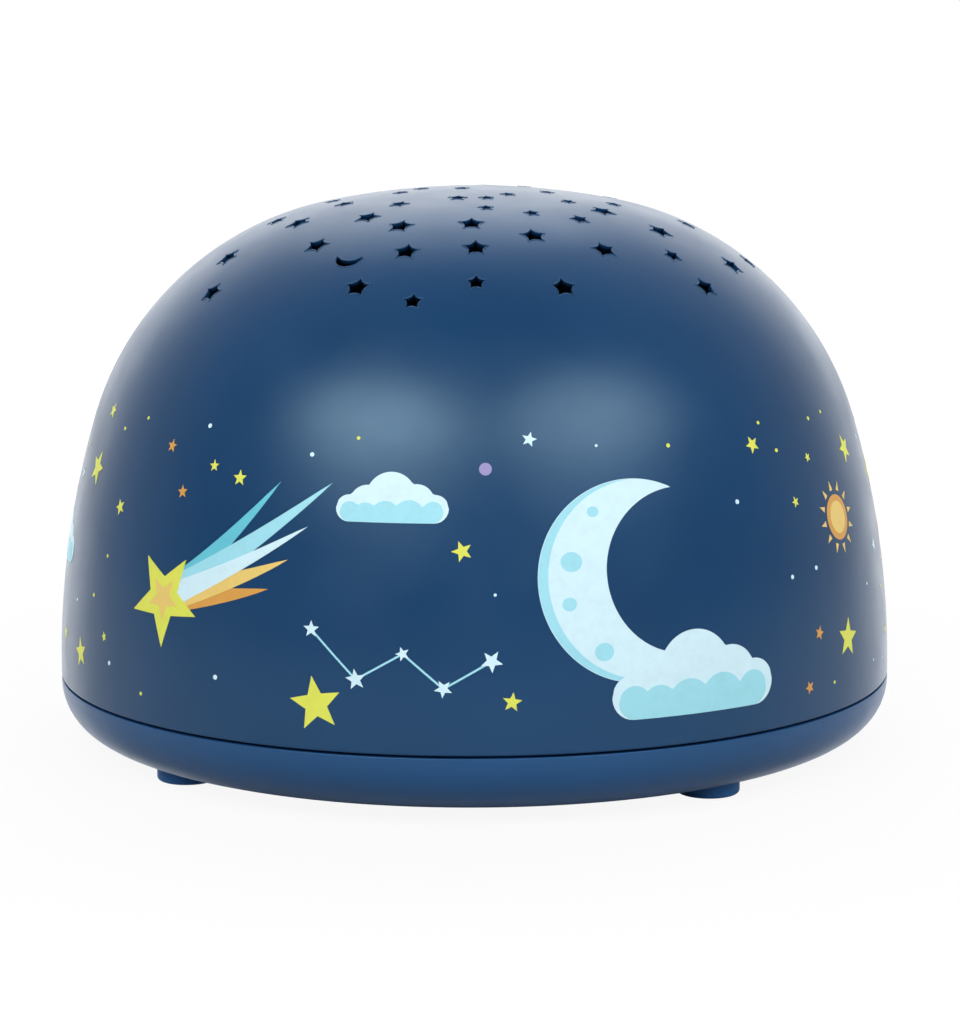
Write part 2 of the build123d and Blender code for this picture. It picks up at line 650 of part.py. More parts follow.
# Captive door screw, with a tapered point
with BuildPart() as door_screw:
    door_seat = Plane(origin=(0, door_screw_y, door_screw_seat), z_dir=(0, 0, -1))
    shank = CUP_WALL + DOOR_SCREW_SHANK
    add_screws([door_seat], SCREW_HEAD_RADIUS, SCREW_HEAD_HEIGHT, DOOR_SCREW_RADIUS, shank, LARGE_CROSS)
    with BuildSketch(door_seat.offset(-shank)):
        Circle(DOOR_SCREW_RADIUS)
    with BuildSketch(door_seat.offset(-shank - DOOR_SCREW_TIP)):
        Circle(DOOR_SCREW_TIP_RADIUS)
    loft()
finish("door_screw", door_screw)

# Battery cells, laid head to tail
CELL_NAMES = ["battery_front", "battery_middle", "battery_rear"]
spring_seats = []
for n, (name, y) in enumerate(zip(CELL_NAMES, cell_rows)):
    head = 1 if n % 2 == 0 else -1
    tail_x = -head * (box_end - CONTACT_THICKNESS - SPRING_LENGTH)
    spring_seats.append(Plane(origin=(-head * (box_end - CONTACT_THICKNESS), y, cell_z), z_dir=(head, 0, 0)))
    with BuildPart() as cell:
        with BuildSketch(Plane(origin=(tail_x, y, cell_z), z_dir=(head, 0, 0))):
            Circle(cell_radius)
        extrude(amount=CELL_LENGTH - NUB_LENGTH)
        fillet(cell.edges().filter_by(GeomType.CIRCLE), CELL_EDGE)
        with BuildSketch(Plane(origin=(tail_x, y, cell_z), z_dir=(head, 0, 0))):
            Circle(NUB_RADIUS)
        extrude(amount=CELL_LENGTH)
    finish(name, cell)

# Coil springs under the flat ends of the cells: the tapered sleeve that each coil fills
with BuildPart() as spring:
    Cone(
        SPRING_RADIUS + SPRING_WIRE,
        SPRING_TIP_RADIUS + SPRING_WIRE,
        SPRING_LENGTH,
        align=(Align.CENTER, Align.CENTER, Align.MIN),
    )
    Cone(
        SPRING_RADIUS - SPRING_WIRE,
        SPRING_TIP_RADIUS - SPRING_WIRE,
        SPRING_LENGTH,
        align=(Align.CENTER, Align.CENTER, Align.MIN),
        mode=Mode.SUBTRACT,
    )

with BuildPart() as battery_springs:
    with Locations(*spring_seats):
        add(spring.part)
finish("battery_springs", battery_springs)


def add_contact(end, rows):
    """Contact plate in the active part, across the given cell rows at one end of the box."""
    middle = (rows[0] + rows[-1]) / 2
    wall = Plane(origin=(end * box_end, middle, cell_z), z_dir=(-end, 0, 0), x_dir=(0, -end, 0))
    with BuildSketch(wall) as plate:
        Rectangle(CONTACT_WIDTH + rows[-1] - rows[0], CONTACT_HEIGHT)
    extrude(plate.sketch, amount=CONTACT_THICKNESS)


def add_lug(end, row):
    """Solder lug in the active part, from a contact plate up through the top of the box."""
    wall = Plane(origin=(end * box_end, row, cell_z), z_dir=(-end, 0, 0), x_dir=(0, -end, 0))
    with BuildSketch(wall) as strip:
        draw_block(-LUG_WIDTH / 2, LUG_WIDTH / 2, 0, box_top + LUG_STAND - cell_z)
    extrude(strip.sketch, amount=CONTACT_THICKNESS)


with BuildPart() as contact_negative:
    add_contact(-1, cell_rows[:1])
    add_lug(-1, cell_rows[0])
finish("contact_negative", contact_negative)

with BuildPart() as contact_positive:
    add_contact(1, cell_rows[-1:])
    add_lug(1, cell_rows[-1])
finish("contact_positive", contact_positive)

with BuildPart() as contact_bridge_left:
    add_contact(-1, cell_rows[1:])
finish("contact_bridge_left", contact_bridge_left)

with BuildPart() as contact_bridge_right:
    add_contact(1, cell_rows[:-1])
finish("contact_bridge_right", contact_bridge_right)

# Deck: rimmed plate with the hollow column that lifts the light source
with BuildPart() as led_deck:
    with BuildSketch(Plane.XY.offset(deck_z)):
        Circle(deck_radius)
    extrude(amount=DECK_THICKNESS)
    with BuildSketch(Plane.XY.offset(deck_top)):
        Circle(deck_radius)
        Circle(deck_radius - DECK_THICKNESS, mode=Mode.SUBTRACT)
    extrude(amount=DECK_RIM_HEIGHT)
    with BuildSketch(Plane.XY.offset(deck_top)):
        Circle(COLUMN_RADIUS)
    extrude(amount=COLUMN_HEIGHT)
    with BuildSketch(Plane.XY.offset(column_top)):
        Circle(LED_BOARD_RADIUS)
    extrude(amount=-PLATFORM_THICKNESS)
    with BuildSketch(Plane.XY.offset(deck_z)):
        Circle(COLUMN_BORE)
    extrude(amount=column_top - deck_z, mode=Mode.SUBTRACT)
    with BuildSketch(Plane.XY.offset(deck_z)):
        with Locations(*deck_posts):
            Circle(SMALL_SCREW_RADIUS + SCREW_CLEARANCE)
    extrude(amount=DECK_THICKNESS, mode=Mode.SUBTRACT)
    with BuildSketch(Plane.XY.offset(column_top)):
        with Locations(*led_screws):
            Circle(SMALL_SCREW_RADIUS + SCREW_CLEARANCE)
    extrude(amount=-PLATFORM_THICKNESS, mode=Mode.SUBTRACT)
finish("led_deck", led_deck)

with BuildPart() as deck_screws:
    add_small_screws(deck_posts, deck_top, SMALL_SCREW_LENGTH)
finish("deck_screws", deck_screws)

# Light source: round board, emitter and clear lens on the axis
with BuildPart() as led_board:
    with BuildSketch(Plane.XY.offset(column_top)):
        Circle(LED_BOARD_RADIUS)
        with Locations(*led_screws):
            Circle(SMALL_SCREW_RADIUS + SCREW_CLEARANCE, mode=Mode.SUBTRACT)
    extrude(amount=LED_BOARD_THICKNESS)
finish("led_board", led_board)

with BuildPart() as led_board_screws:
    add_small_screws(led_screws, led_board_top, LED_SCREW_LENGTH)
finish("led_board_screws", led_board_screws)

with BuildPart() as led_emitter:
    with BuildSketch(Plane.XY.offset(led_board_top)):
        Circle(EMITTER_RADIUS)
    extrude(amount=EMITTER_HEIGHT)
finish("led_emitter", led_emitter)

with BuildPart() as led_lens:
    with BuildSketch(Plane.XZ):
        with BuildLine():
            rim = Line((0, emitter_top), (LENS_RADIUS, emitter_top))
            top = JernArc(rim @ 1, (0, 1), LENS_RADIUS, QUARTER_TURN)
            Line(top @ 1, rim @ 0)
        make_face()
    revolve(axis=Axis.Z)
finish("led_lens", led_lens)

# Main board on its posts, with the chip and the capacitor
with BuildPart() as main_board:
    with BuildSketch(Plane.XY.offset(board_z)):
        draw_block(BOARD_LEFT, BOARD_RIGHT, board_front, board_rear)
        with Locations(*board_posts):
            Circle(SMALL_SCREW_RADIUS + SCREW_CLEARANCE, mode=Mode.SUBTRACT)
    extrude(amount=BOARD_THICKNESS)
    corners = main_board.edges().filter_by(Axis.Z).filter_by(GeomType.LINE)
    fillet(corners.group_by(Axis.X)[0] + corners.group_by(Axis.X)[-1], BOARD_CORNER)
finish("main_board", main_board)

with BuildPart() as board_screws:
    add_small_screws(board_posts, board_top, SMALL_SCREW_LENGTH)
finish("board_screws", board_screws)

with BuildPart() as control_chip:
    with BuildSketch(Plane.XY.offset(board_top + CHIP_STANDOFF)):
        with Locations((CHIP_X, chip_y)):
            Rectangle(CHIP_LENGTH, CHIP_WIDTH)
    extrude(amount=CHIP_HEIGHT)
    with BuildSketch(Plane.XY.offset(board_top)):
        with Locations((CHIP_X, chip_y)):
            with GridLocations(LEG_PITCH, 0, CHIP_LEGS, 1):
                Rectangle(LEG_WIDTH, CHIP_WIDTH + 2 * LEG_REACH)
    extrude(amount=CHIP_STANDOFF + LEG_THICKNESS)
finish("control_chip", control_chip)

with BuildPart() as capacitor:
    with BuildSketch(Plane.XY.offset(board_top)):
        with Locations((CAPACITOR_X, capacitor_y)):
            Circle(CAPACITOR_RADIUS)
    extrude(amount=CAPACITOR_HEIGHT)
    fillet(capacitor.edges().group_by(Axis.Z)[-1], CAPACITOR_EDGE)
finish("capacitor", capacitor)

# Push switch lying on the board, facing the rear
with BuildPart() as switch_body:
    with BuildSketch(Plane.XZ.offset(-switch_rear)):
        draw_block(-SWITCH_WIDTH / 2, SWITCH_WIDTH / 2, board_top, board_top + SWITCH_HEIGHT)
    extrude(amount=SWITCH_DEPTH)
    with BuildSketch(Plane.XZ.offset(-switch_rear)):
        with Locations((0, button_z)):
            Circle(PLUNGER_RADIUS + PLUNGER_CLEARANCE)
    extrude(amount=PLUNGER_INSIDE + BUTTON_TRAVEL + BUTTON_SPARE, mode=Mode.SUBTRACT)
finish("switch_body", switch_body)

with BuildPart() as switch_plunger:
    with BuildSketch(Plane.XZ.offset(-stem_end)):
        with Locations((0, button_z)):
            Circle(PLUNGER_RADIUS)
    extrude(amount=PLUNGER_REACH + PLUNGER_INSIDE)
finish("switch_plunger", switch_plunger)

# Button: cap through the dome, flange that keeps it in, stem on the switch
with BuildPart() as power_button:
    with BuildSketch(Plane.XZ.offset(-button_end)):
        with Locations((0, button_z)):
            Circle(BUTTON_RADIUS)
    extrude(amount=button_end - guide_seat)
    fillet(power_button.edges().group_by(Axis.Y)[-1], BUTTON_ROUNDING)
    with BuildSketch(Plane.XZ.offset(-guide_seat)):
        with Locations((0, button_z)):
            Circle(FLANGE_RADIUS)
    extrude(amount=FLANGE_THICKNESS)
    with BuildSketch(Plane.XZ.offset(-guide_seat)):
        with Locations((0, button_z)):
            Circle(STEM_RADIUS)
    extrude(amount=FLANGE_THICKNESS + STEM_LENGTH)
finish("power_button", power_button)

# Power inlet: thin metal mouth with its contact tongue
with BuildPart() as usb_socket:
    with BuildSketch(Plane.XZ.offset(-usb_mouth)):
        with Locations((USB_X, usb_z)):
            SlotOverall(USB_WIDTH, USB_HEIGHT)
    extrude(amount=USB_LENGTH)
    with BuildSketch(Plane.XZ.offset(-usb_mouth)):
        with Locations((USB_X, usb_z)):
            SlotOverall(USB_WIDTH - 2 * USB_WALL, USB_HEIGHT - 2 * USB_WALL)
    extrude(amount=USB_LENGTH - USB_BACK, mode=Mode.SUBTRACT)
    with BuildSketch(Plane.XZ.offset(USB_LENGTH - usb_mouth)):
        with Locations((USB_X, usb_z)):
            Rectangle(USB_TONGUE_WIDTH, USB_TONGUE_THICKNESS)
    extrude(amount=-(USB_BACK + USB_TONGUE_LENGTH))
finish("usb_socket", usb_socket)

# Wires from the board up to the light source, and from the battery box to the board
pad_y = board_front + PAD_INSET
run_z = box_top + WIRE_LIFT
lug_top = box_top + LUG_STAND
lug_x = box_end - CONTACT_THICKNESS / 2

for name, x in (("led_wire_black", -LED_WIRE_OFFSET), ("led_wire_red", LED_WIRE_OFFSET)):
    with BuildPart() as led_wire:
        add_wire([(x, 0, column_top), (x, 0, run_z), (x, pad_y, run_z), (x, pad_y, board_top)])
    finish(name, led_wire)

for name, side, row in (
    ("battery_wire_black", -1, cell_rows[0]),
    ("battery_wire_red", 1, cell_rows[-1]),
):
    with BuildPart() as battery_wire:
        add_wire(
            [
                (side * lug_x, row, lug_top),
                (side * lug_x, row, run_z),
                (side * lug_x, pad_y - LEAD_TURN, run_z),
                (side * BATTERY_PAD_X, pad_y, run_z),
                (side * BATTERY_PAD_X, pad_y, board_top),
            ]
        )
    finish(name, battery_wire)
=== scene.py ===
import math
import random

import bmesh
import bpy
from mathutils import Matrix, Vector
from mathutils.geometry import delaunay_2d_cdt


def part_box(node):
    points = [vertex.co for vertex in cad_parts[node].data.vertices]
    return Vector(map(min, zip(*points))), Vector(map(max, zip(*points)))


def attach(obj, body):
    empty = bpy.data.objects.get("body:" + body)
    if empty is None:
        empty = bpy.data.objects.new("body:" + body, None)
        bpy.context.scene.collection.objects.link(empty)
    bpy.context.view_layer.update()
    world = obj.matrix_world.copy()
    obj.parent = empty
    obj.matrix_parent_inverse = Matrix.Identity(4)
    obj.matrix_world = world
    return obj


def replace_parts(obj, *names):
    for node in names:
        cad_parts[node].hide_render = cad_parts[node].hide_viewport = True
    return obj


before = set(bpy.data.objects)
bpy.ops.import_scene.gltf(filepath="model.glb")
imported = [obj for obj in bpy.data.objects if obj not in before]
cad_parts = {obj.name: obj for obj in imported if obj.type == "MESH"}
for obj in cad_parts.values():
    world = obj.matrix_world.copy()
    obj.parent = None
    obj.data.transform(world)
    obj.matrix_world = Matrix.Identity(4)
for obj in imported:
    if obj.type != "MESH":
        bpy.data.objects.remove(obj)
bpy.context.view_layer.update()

# The lamp stands on Z = 0 and its front faces -Y. The scene is in metres; the print is drawn in
# millimetres and laid on the dome.
MM = 0.001
scene = bpy.context.scene
scene.view_settings.view_transform = "Standard"

# Dome meridian, as the CAD has it
SEAM_RADIUS = 70.0
DOME_RIM = 11.7
SIDE_RADIUS = 145.0
SIDE_SWEEP = math.radians(17.2)
SHOULDER_RADIUS = 51.6
SHOULDER_SWEEP = math.radians(61.2)
SIDE_LENGTH = SIDE_RADIUS * SIDE_SWEEP
SIDE_END_RADIUS = SEAM_RADIUS - SIDE_RADIUS * (1 - math.cos(SIDE_SWEEP))
SIDE_END_Z = DOME_RIM + SIDE_RADIUS * math.sin(SIDE_SWEEP)
SHOULDER_END = SIDE_SWEEP + SHOULDER_SWEEP
SHOULDER_CENTRE_RADIUS = SIDE_END_RADIUS - SHOULDER_RADIUS * math.cos(SIDE_SWEEP)
SHOULDER_CENTRE_Z = SIDE_END_Z - SHOULDER_RADIUS * math.sin(SIDE_SWEEP)
SHOULDER_END_RADIUS = SHOULDER_CENTRE_RADIUS + SHOULDER_RADIUS * math.cos(SHOULDER_END)
SHOULDER_END_Z = SHOULDER_CENTRE_Z + SHOULDER_RADIUS * math.sin(SHOULDER_END)
CROWN_RADIUS = SHOULDER_END_RADIUS / math.cos(SHOULDER_END)
CROWN_CENTRE_Z = SHOULDER_END_Z - CROWN_RADIUS * math.sin(SHOULDER_END)


def linear(*srgb):
    """Linear colour from 0-255 sRGB values."""
    values = [c / 255 for c in srgb]
    return [c / 12.92 if c <= 0.04045 else ((c + 0.055) / 1.055) ** 2.4 for c in values] + [1.0]


def lighter(colour, share):
    """The colour, scaled in brightness by 1 + share."""
    return [min(1.0, c * (1 + share)) for c in colour[:3]] + [1.0]


# Camera: the photograph's viewing angle, for a 960 x 1009 picture
IMAGE_HEIGHT = 1009
FOCAL_PIXELS = 2644.5
SENSOR = 36.0
CAMERA_ELEVATION = math.radians(8.47)
CAMERA_AZIMUTH = math.radians(6.4)
CAMERA_ROLL = math.radians(-0.15)
CAMERA_DISTANCE = 0.450
CAMERA_TARGET_RIGHT = 0.00098
CAMERA_TARGET_Z = 0.0384
CLIP_START = 0.01


def make_camera():
    camera = bpy.data.objects.new("camera", bpy.data.cameras.new("camera"))
    scene.collection.objects.link(camera)
    right = Vector((math.cos(CAMERA_AZIMUTH), math.sin(CAMERA_AZIMUTH), 0))
    flat = math.cos(CAMERA_ELEVATION)
    back = Vector(
        (math.sin(CAMERA_AZIMUTH) * flat, -math.cos(CAMERA_AZIMUTH) * flat, math.sin(CAMERA_ELEVATION))
    )
    up = back.cross(right)
    rolled_right = right * math.cos(CAMERA_ROLL) + up * math.sin(CAMERA_ROLL)
    rolled_up = up * math.cos(CAMERA_ROLL) - right * math.sin(CAMERA_ROLL)
    place = Matrix((rolled_right, rolled_up, back)).transposed().to_4x4()
    target = right * CAMERA_TARGET_RIGHT + Vector((0, 0, CAMERA_TARGET_Z))
    place.translation = target + back * CAMERA_DISTANCE
    camera.matrix_world = place
    camera.data.sensor_width = SENSOR
    camera.data.lens = FOCAL_PIXELS / IMAGE_HEIGHT * SENSOR
    camera.data.clip_start = CLIP_START
    scene.camera = camera


make_camera()


# Materials

# Inputs and output of the Mix node, by what it mixes
MIX_SOCKETS = {"RGBA": (6, 7, 2), "VECTOR": (4, 5, 1)}


class Tree:
    """A node tree, and short ways to add to it."""

    def __init__(self, tree):
        self.tree = tree

    def add(self, kind, **values):
        node = self.tree.nodes.new("ShaderNode" + kind)
        for key, value in values.items():
            setattr(node, key, value)
        return node

    def link(self, source, target):
        """Lead an output, or a plain value, into an input."""
        if isinstance(source, bpy.types.NodeSocket):
            self.tree.links.new(source, target)
        else:
            target.default_value = source

    def link_all(self, sources, targets):
        for source, target in zip(sources, targets):
            self.link(source, target)

    def ramp(self, factor, *stops):
        """Colour ramp; each stop is a position and a colour."""
        node = self.add("ValToRGB")
        elements = node.color_ramp.elements
        while len(elements) < len(stops):
            elements.new(0.5)
        for element, (position, colour) in zip(elements, stops):
            element.position = position
            element.color = colour
        self.link(factor, node.inputs["Fac"])
        return node.outputs["Color"]

    def spread(self, factor, low, high, start=0.3, end=0.7, kind="LINEAR"):
        """Map the range from start to end, which is a texture's middle range by default, to low..high."""
        node = self.add("MapRange", interpolation_type=kind)
        names = ("Value", "From Min", "From Max", "To Min", "To Max")
        self.link_all((factor, start, end, low, high), [node.inputs[name] for name in names])
        return node.outputs["Result"]

    def math(self, operation, *values):
        node = self.add("Math", operation=operation)
        self.link_all(values, node.inputs)
        return node.outputs[0]

    def dot(self, first, second):
        node = self.add("VectorMath", operation="DOT_PRODUCT")
        self.link_all((first, second), node.inputs)
        return node.outputs["Value"]

    def both(self, first, second):
        """Output of two shader nodes added up."""
        node = self.add("AddShader")
        self.link_all((first.outputs[0], second.outputs[0]), node.inputs)
        return node.outputs[0]

    def ray_kinds(self):
        """Whether a ray comes from the camera, and whether from a gloss or through a clear body."""
        path = self.add("LightPath").outputs
        return path["Is Camera Ray"], self.math("MAXIMUM", path["Is Glossy Ray"], path["Is Transmission Ray"])


class Nodes(Tree):
    """A material's node tree with its Principled shader."""

    def __init__(self, name, **settings):
        self.material = bpy.data.materials.new(name)
        self.material.use_nodes = True
        super().__init__(self.material.node_tree)
        self.shader = self.tree.nodes["Principled BSDF"]
        for socket, value in settings.items():
            self.link(value, self.shader.inputs[socket.replace("_", " ")])
        self.place = self.add("TexCoord").outputs["Object"]

    def noise(self, scale, detail=3.0, roughness=0.55, place=None):
        node = self.add("TexNoise")
        names = ("Scale", "Detail", "Roughness", "Vector")
        self.link_all((scale, detail, roughness, place or self.place), [node.inputs[name] for name in names])
        return node.outputs["Fac"]

    def mix(self, factor, first, second, kind="RGBA"):
        node = self.add("Mix", data_type=kind)
        first_socket, second_socket, result = MIX_SOCKETS[kind]
        self.link(factor, node.inputs["Factor"])
        self.link(first, node.inputs[first_socket])
        self.link(second, node.inputs[second_socket])
        return node.outputs[result]

    def axes(self):
        """X, Y and Z of the place."""
        node = self.add("SeparateXYZ")
        self.link(self.place, node.inputs["Vector"])
        return node.outputs

    def vector(self, *parts):
        node = self.add("CombineXYZ")
        self.link_all(parts, node.inputs)
        return node.outputs["Vector"]

    def length(self, first, second):
        """Length of the hypotenuse over two sides."""
        node = self.add("VectorMath", operation="LENGTH")
        self.link(self.vector(first, second), node.inputs[0])
        return node.outputs["Value"]

    def colour(self, source):
        self.link(source, self.shader.inputs["Base Color"])

    def rough(self, source):
        self.link(source, self.shader.inputs["Roughness"])

    def bump(self, height, depth, normal=None):
        node = self.add("Bump")
        self.link(depth, node.inputs["Distance"])
        self.link(height, node.inputs["Height"])
        if normal:
            self.link(normal, node.inputs["Normal"])
        self.link(node.outputs["Normal"], self.shader.inputs["Normal"])


# Depths of the finest relief in metres; the scales of textures are per metre
FAINT_RELIEF = 0.000006
FINE_RELIEF = 0.00001
COARSE_RELIEF = 0.00002
RUBBER_RELIEF = 0.00003
# Moulded plastic: scale of its tones and of its patches of gloss, and how far the roughness wanders
TONE_SCALE = 38.0
PATCH_SCALE = 95.0
PATCH_ROUGHNESS = 0.035
# Painted shade in the holes: their walls go dark below their edges, from one depth in millimetres to another
SHADE_START = 0.1
SHADE_END = 0.7
HOLE_PAINTED_SHADE = -0.96
# How softly the dome's arcs run into each other, and how near two normals of one face are, on the side
# and above it. Height in millimetres over which one arc's rule gives way to the next.
SIDE_BLEND = 0.09
CROWN_BLEND = 0.006
SAME_FACE = (0.9985, 0.95)
ARC_CHANGE = 1.0
# Plated metal: scale of its streaks and of its worn patches
STREAK_SCALE = 900.0
WEAR_SCALE = 420.0
STREAK_RELIEF = 0.000008
# Ink: scale of its mottling, of its patches of gloss and of its pinholes
MOTTLE_SCALE = 520.0
SATIN_SCALE = 260.0
PINHOLE_SCALE = 3400.0
# Contact tongue of the power socket, in millimetres
TONGUE_HALF_WIDTH = 3.5
TONGUE_HALF_HEIGHT = 0.6
# Where the bands of a cell's sleeve start, as shares of its length
SLEEVE_START, STRIPE_START, PALE_START, SLEEVE_END = 0.03, 0.66, 0.7, 0.93
# Width of a board's tracks, and where the lacquer between them starts, as shares of a cell of the maze
TRACK_EDGE, LACQUER_EDGE = 0.07, 0.1
# Lamp chip: outer radius in millimetres, and where its phosphor ends, as a share of that
EMITTER_RADIUS = 3.5
PHOSPHOR_DEEP, PHOSPHOR_END = 0.7, 0.78


def moulded(
    name, colour, rough, tone=0.07, grain=2600.0, depth=FINE_RELIEF, shade=None, face=None, **settings
):
    """Moulded plastic or rubber: uneven tone, fine spark-eroded grain and patchy gloss.
    shade, where given, makes a factor of painted shade that darkens the plastic, and face makes its normal."""
    nodes = Nodes(name, **settings)
    broad = nodes.noise(TONE_SCALE, detail=4.0)
    tones = nodes.ramp(broad, (0.3, lighter(colour, -tone)), (0.7, lighter(colour, tone)))
    # Painted shade: where a shade factor is given, the tones darken towards near black
    nodes.colour(nodes.mix(shade(nodes), tones, lighter(colour, HOLE_PAINTED_SHADE)) if shade else tones)
    nodes.rough(nodes.spread(nodes.noise(PATCH_SCALE), rough - PATCH_ROUGHNESS, rough + PATCH_ROUGHNESS))
    nodes.bump(nodes.noise(grain, detail=2.0), depth, face(nodes) if face else None)
    return nodes.material


def painted_hole_shade(nodes):
    """How far below the outer face of the shoulder or crown a place lies, as a factor of painted shade that
    darkens the holes' walls.
    """
    x, y, z = nodes.axes()
    out = nodes.length(x, y)
    from_shoulder = nodes.length(
        nodes.math("SUBTRACT", out, SHOULDER_CENTRE_RADIUS * MM),
        nodes.math("SUBTRACT", z, SHOULDER_CENTRE_Z * MM),
    )
    from_crown = nodes.length(out, nodes.math("SUBTRACT", z, CROWN_CENTRE_Z * MM))
    on_shoulder = nodes.math("SUBTRACT", SHOULDER_RADIUS * MM, from_shoulder)
    on_crown = nodes.math("SUBTRACT", CROWN_RADIUS * MM, from_crown)
    further = nodes.math("SUBTRACT", on_shoulder, on_crown)
    beyond = nodes.math("GREATER_THAN", out, SHOULDER_END_RADIUS * MM)
    depth = nodes.math("ADD", on_crown, nodes.math("MULTIPLY", beyond, further))
    return nodes.spread(depth, 0.0, 1.0, SHADE_START * MM, SHADE_END * MM)


def dome_normal(nodes):
    """Smooth normal of the dome's outer face, and the mesh's own normal on its other faces. Along each arc
    of the meridian the normal's rise is in proportion to the height above the arc's centre."""
    x, y, z = nodes.axes()
    arcs = [(DOME_RIM, SIDE_RADIUS), (SHOULDER_CENTRE_Z, SHOULDER_RADIUS), (CROWN_CENTRE_Z, CROWN_RADIUS)]
    side, shoulder, crown = (
        nodes.math("DIVIDE", nodes.math("SUBTRACT", z, centre * MM), radius * MM) for centre, radius in arcs
    )
    up_to_shoulder = nodes.math("SMOOTH_MAX", side, shoulder, SIDE_BLEND)
    rise = nodes.math("SMOOTH_MIN", up_to_shoulder, crown, CROWN_BLEND)
    flat = nodes.math("SQRT", nodes.math("SUBTRACT", 1.0, nodes.math("MULTIPLY", rise, rise)))
    share = nodes.math("DIVIDE", flat, nodes.length(x, y))
    on_crown = nodes.spread(z, 0.0, 1.0, SHOULDER_END_Z * MM, (SHOULDER_END_Z + ARC_CHANGE) * MM)
    change = nodes.math("SUBTRACT", 1 / (CROWN_RADIUS * MM), share)
    share = nodes.math("ADD", share, nodes.math("MULTIPLY", on_crown, change))
    smooth = nodes.vector(nodes.math("MULTIPLY", x, share), nodes.math("MULTIPLY", y, share), rise)
    own = nodes.add("NewGeometry").outputs["Normal"]
    least = nodes.spread(z, *SAME_FACE, SIDE_END_Z * MM, (SIDE_END_Z + ARC_CHANGE) * MM)
    return nodes.mix(nodes.math("GREATER_THAN", nodes.dot(own, smooth), least), own, smooth, "VECTOR")


def plated(name, colour, rough, streak=1.0):
    """Plated or drawn metal: fine streaks in tone and gloss."""
    nodes = Nodes(name, Metallic=1.0)
    stretch = nodes.add("Mapping")
    nodes.link((1.0, streak, 1.0), stretch.inputs["Scale"])
    nodes.link(nodes.place, stretch.inputs["Vector"])
    lines = nodes.noise(STREAK_SCALE, detail=4.0, place=stretch.outputs["Vector"])
    nodes.colour(nodes.ramp(lines, (0.25, lighter(colour, -0.14)), (0.75, lighter(colour, 0.08))))
    nodes.rough(nodes.spread(nodes.noise(WEAR_SCALE), rough - 0.07, rough + 0.08))
    nodes.bump(lines, STREAK_RELIEF)
    return nodes.material


def printed(name, colour):
    """Pad-printed ink: faint mottling, pinholes and a dry satin film."""
    nodes = Nodes(name, Specular_IOR_Level=0.3)
    mottle = nodes.noise(MOTTLE_SCALE, detail=5.0, roughness=0.65)
    thin, thick = lighter(colour, -0.05), lighter(colour, 0.03)
    nodes.colour(nodes.ramp(mottle, (0.28, thin), (0.5, colour), (0.72, thick)))
    nodes.rough(nodes.spread(nodes.noise(SATIN_SCALE), low=0.40, high=0.52))
    nodes.bump(nodes.noise(PINHOLE_SCALE, detail=2.0), FAINT_RELIEF)
    return nodes.material


def socket_steel():
    """Drawn steel mouth with a dark moulded contact tongue inside it."""
    low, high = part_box("usb_socket")
    middle = (low + high) / 2
    nodes = Nodes("usb_steel")
    x, _, z = nodes.axes()
    off_x = nodes.math("ABSOLUTE", nodes.math("SUBTRACT", x, middle.x))
    off_z = nodes.math("ABSOLUTE", nodes.math("SUBTRACT", z, middle.z))
    in_x = nodes.math("LESS_THAN", off_x, TONGUE_HALF_WIDTH * MM)
    in_z = nodes.math("LESS_THAN", off_z, TONGUE_HALF_HEIGHT * MM)
    tongue = nodes.math("MULTIPLY", in_x, in_z)
    streaks = nodes.noise(scale=1100.0, detail=4.0)
    steel = nodes.ramp(streaks, (0.25, linear(158, 160, 164)), (0.75, linear(190, 192, 196)))
    nodes.colour(nodes.mix(tongue, steel, linear(24, 24, 26)))
    nodes.link(nodes.math("SUBTRACT", 1.0, tongue), nodes.shader.inputs["Metallic"])
    nodes.rough(nodes.spread(streaks, low=0.24, high=0.38))
    nodes.bump(streaks, FAINT_RELIEF)
    return nodes.material


def cell_jacket(name, head):
    """Printed sleeve of a battery cell: slate body, green stripe and pale band near its head, bare metal
    at both ends. head is the side of X that the cell's head is on."""
    low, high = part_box("battery_front")
    nodes = Nodes(name)
    start, end = (low.x, high.x) if head > 0 else (-low.x, -high.x)
    along = nodes.spread(nodes.axes()[0], 0.0, 1.0, start, end)
    metal = linear(188, 188, 186)
    slate, pale, green = linear(54, 64, 74), linear(206, 212, 208), linear(92, 148, 110)
    sleeve = [(SLEEVE_START, slate), (STRIPE_START, green), (PALE_START, pale)]
    bands = nodes.ramp(along, (0.0, metal), *sleeve, (SLEEVE_END, metal))
    bands.node.color_ramp.interpolation = "CONSTANT"
    worn = nodes.noise(scale=700.0, detail=5.0)
    nodes.colour(nodes.mix(nodes.spread(worn, low=0.0, high=0.12), bands, linear(150, 152, 154)))
    at_tail = nodes.math("LESS_THAN", along, SLEEVE_START)
    at_head = nodes.math("GREATER_THAN", along, SLEEVE_END)
    nodes.link(nodes.math("ADD", at_tail, at_head), nodes.shader.inputs["Metallic"])
    nodes.rough(nodes.spread(nodes.noise(scale=240.0), low=0.26, high=0.36))
    nodes.bump(worn, FAINT_RELIEF)
    return nodes.material


def board_lacquer(name, lacquer, copper, scale):
    """Circuit board: lacquer over a maze of tracks, with a little weave in its surface."""
    nodes = Nodes(name, Specular_IOR_Level=0.5)
    cells = nodes.add("TexVoronoi", distance="MANHATTAN", feature="DISTANCE_TO_EDGE")
    nodes.link(scale, cells.inputs["Scale"])
    nodes.link(nodes.place, cells.inputs["Vector"])
    maze = cells.outputs["Distance"]
    stops = [(0.0, copper), (TRACK_EDGE, copper), (LACQUER_EDGE, lacquer), (1.0, lighter(lacquer, 0.1))]
    nodes.colour(nodes.ramp(maze, *stops))
    nodes.rough(nodes.spread(nodes.noise(scale=300.0), low=0.26, high=0.36))
    nodes.bump(maze, COARSE_RELIEF)
    return nodes.material


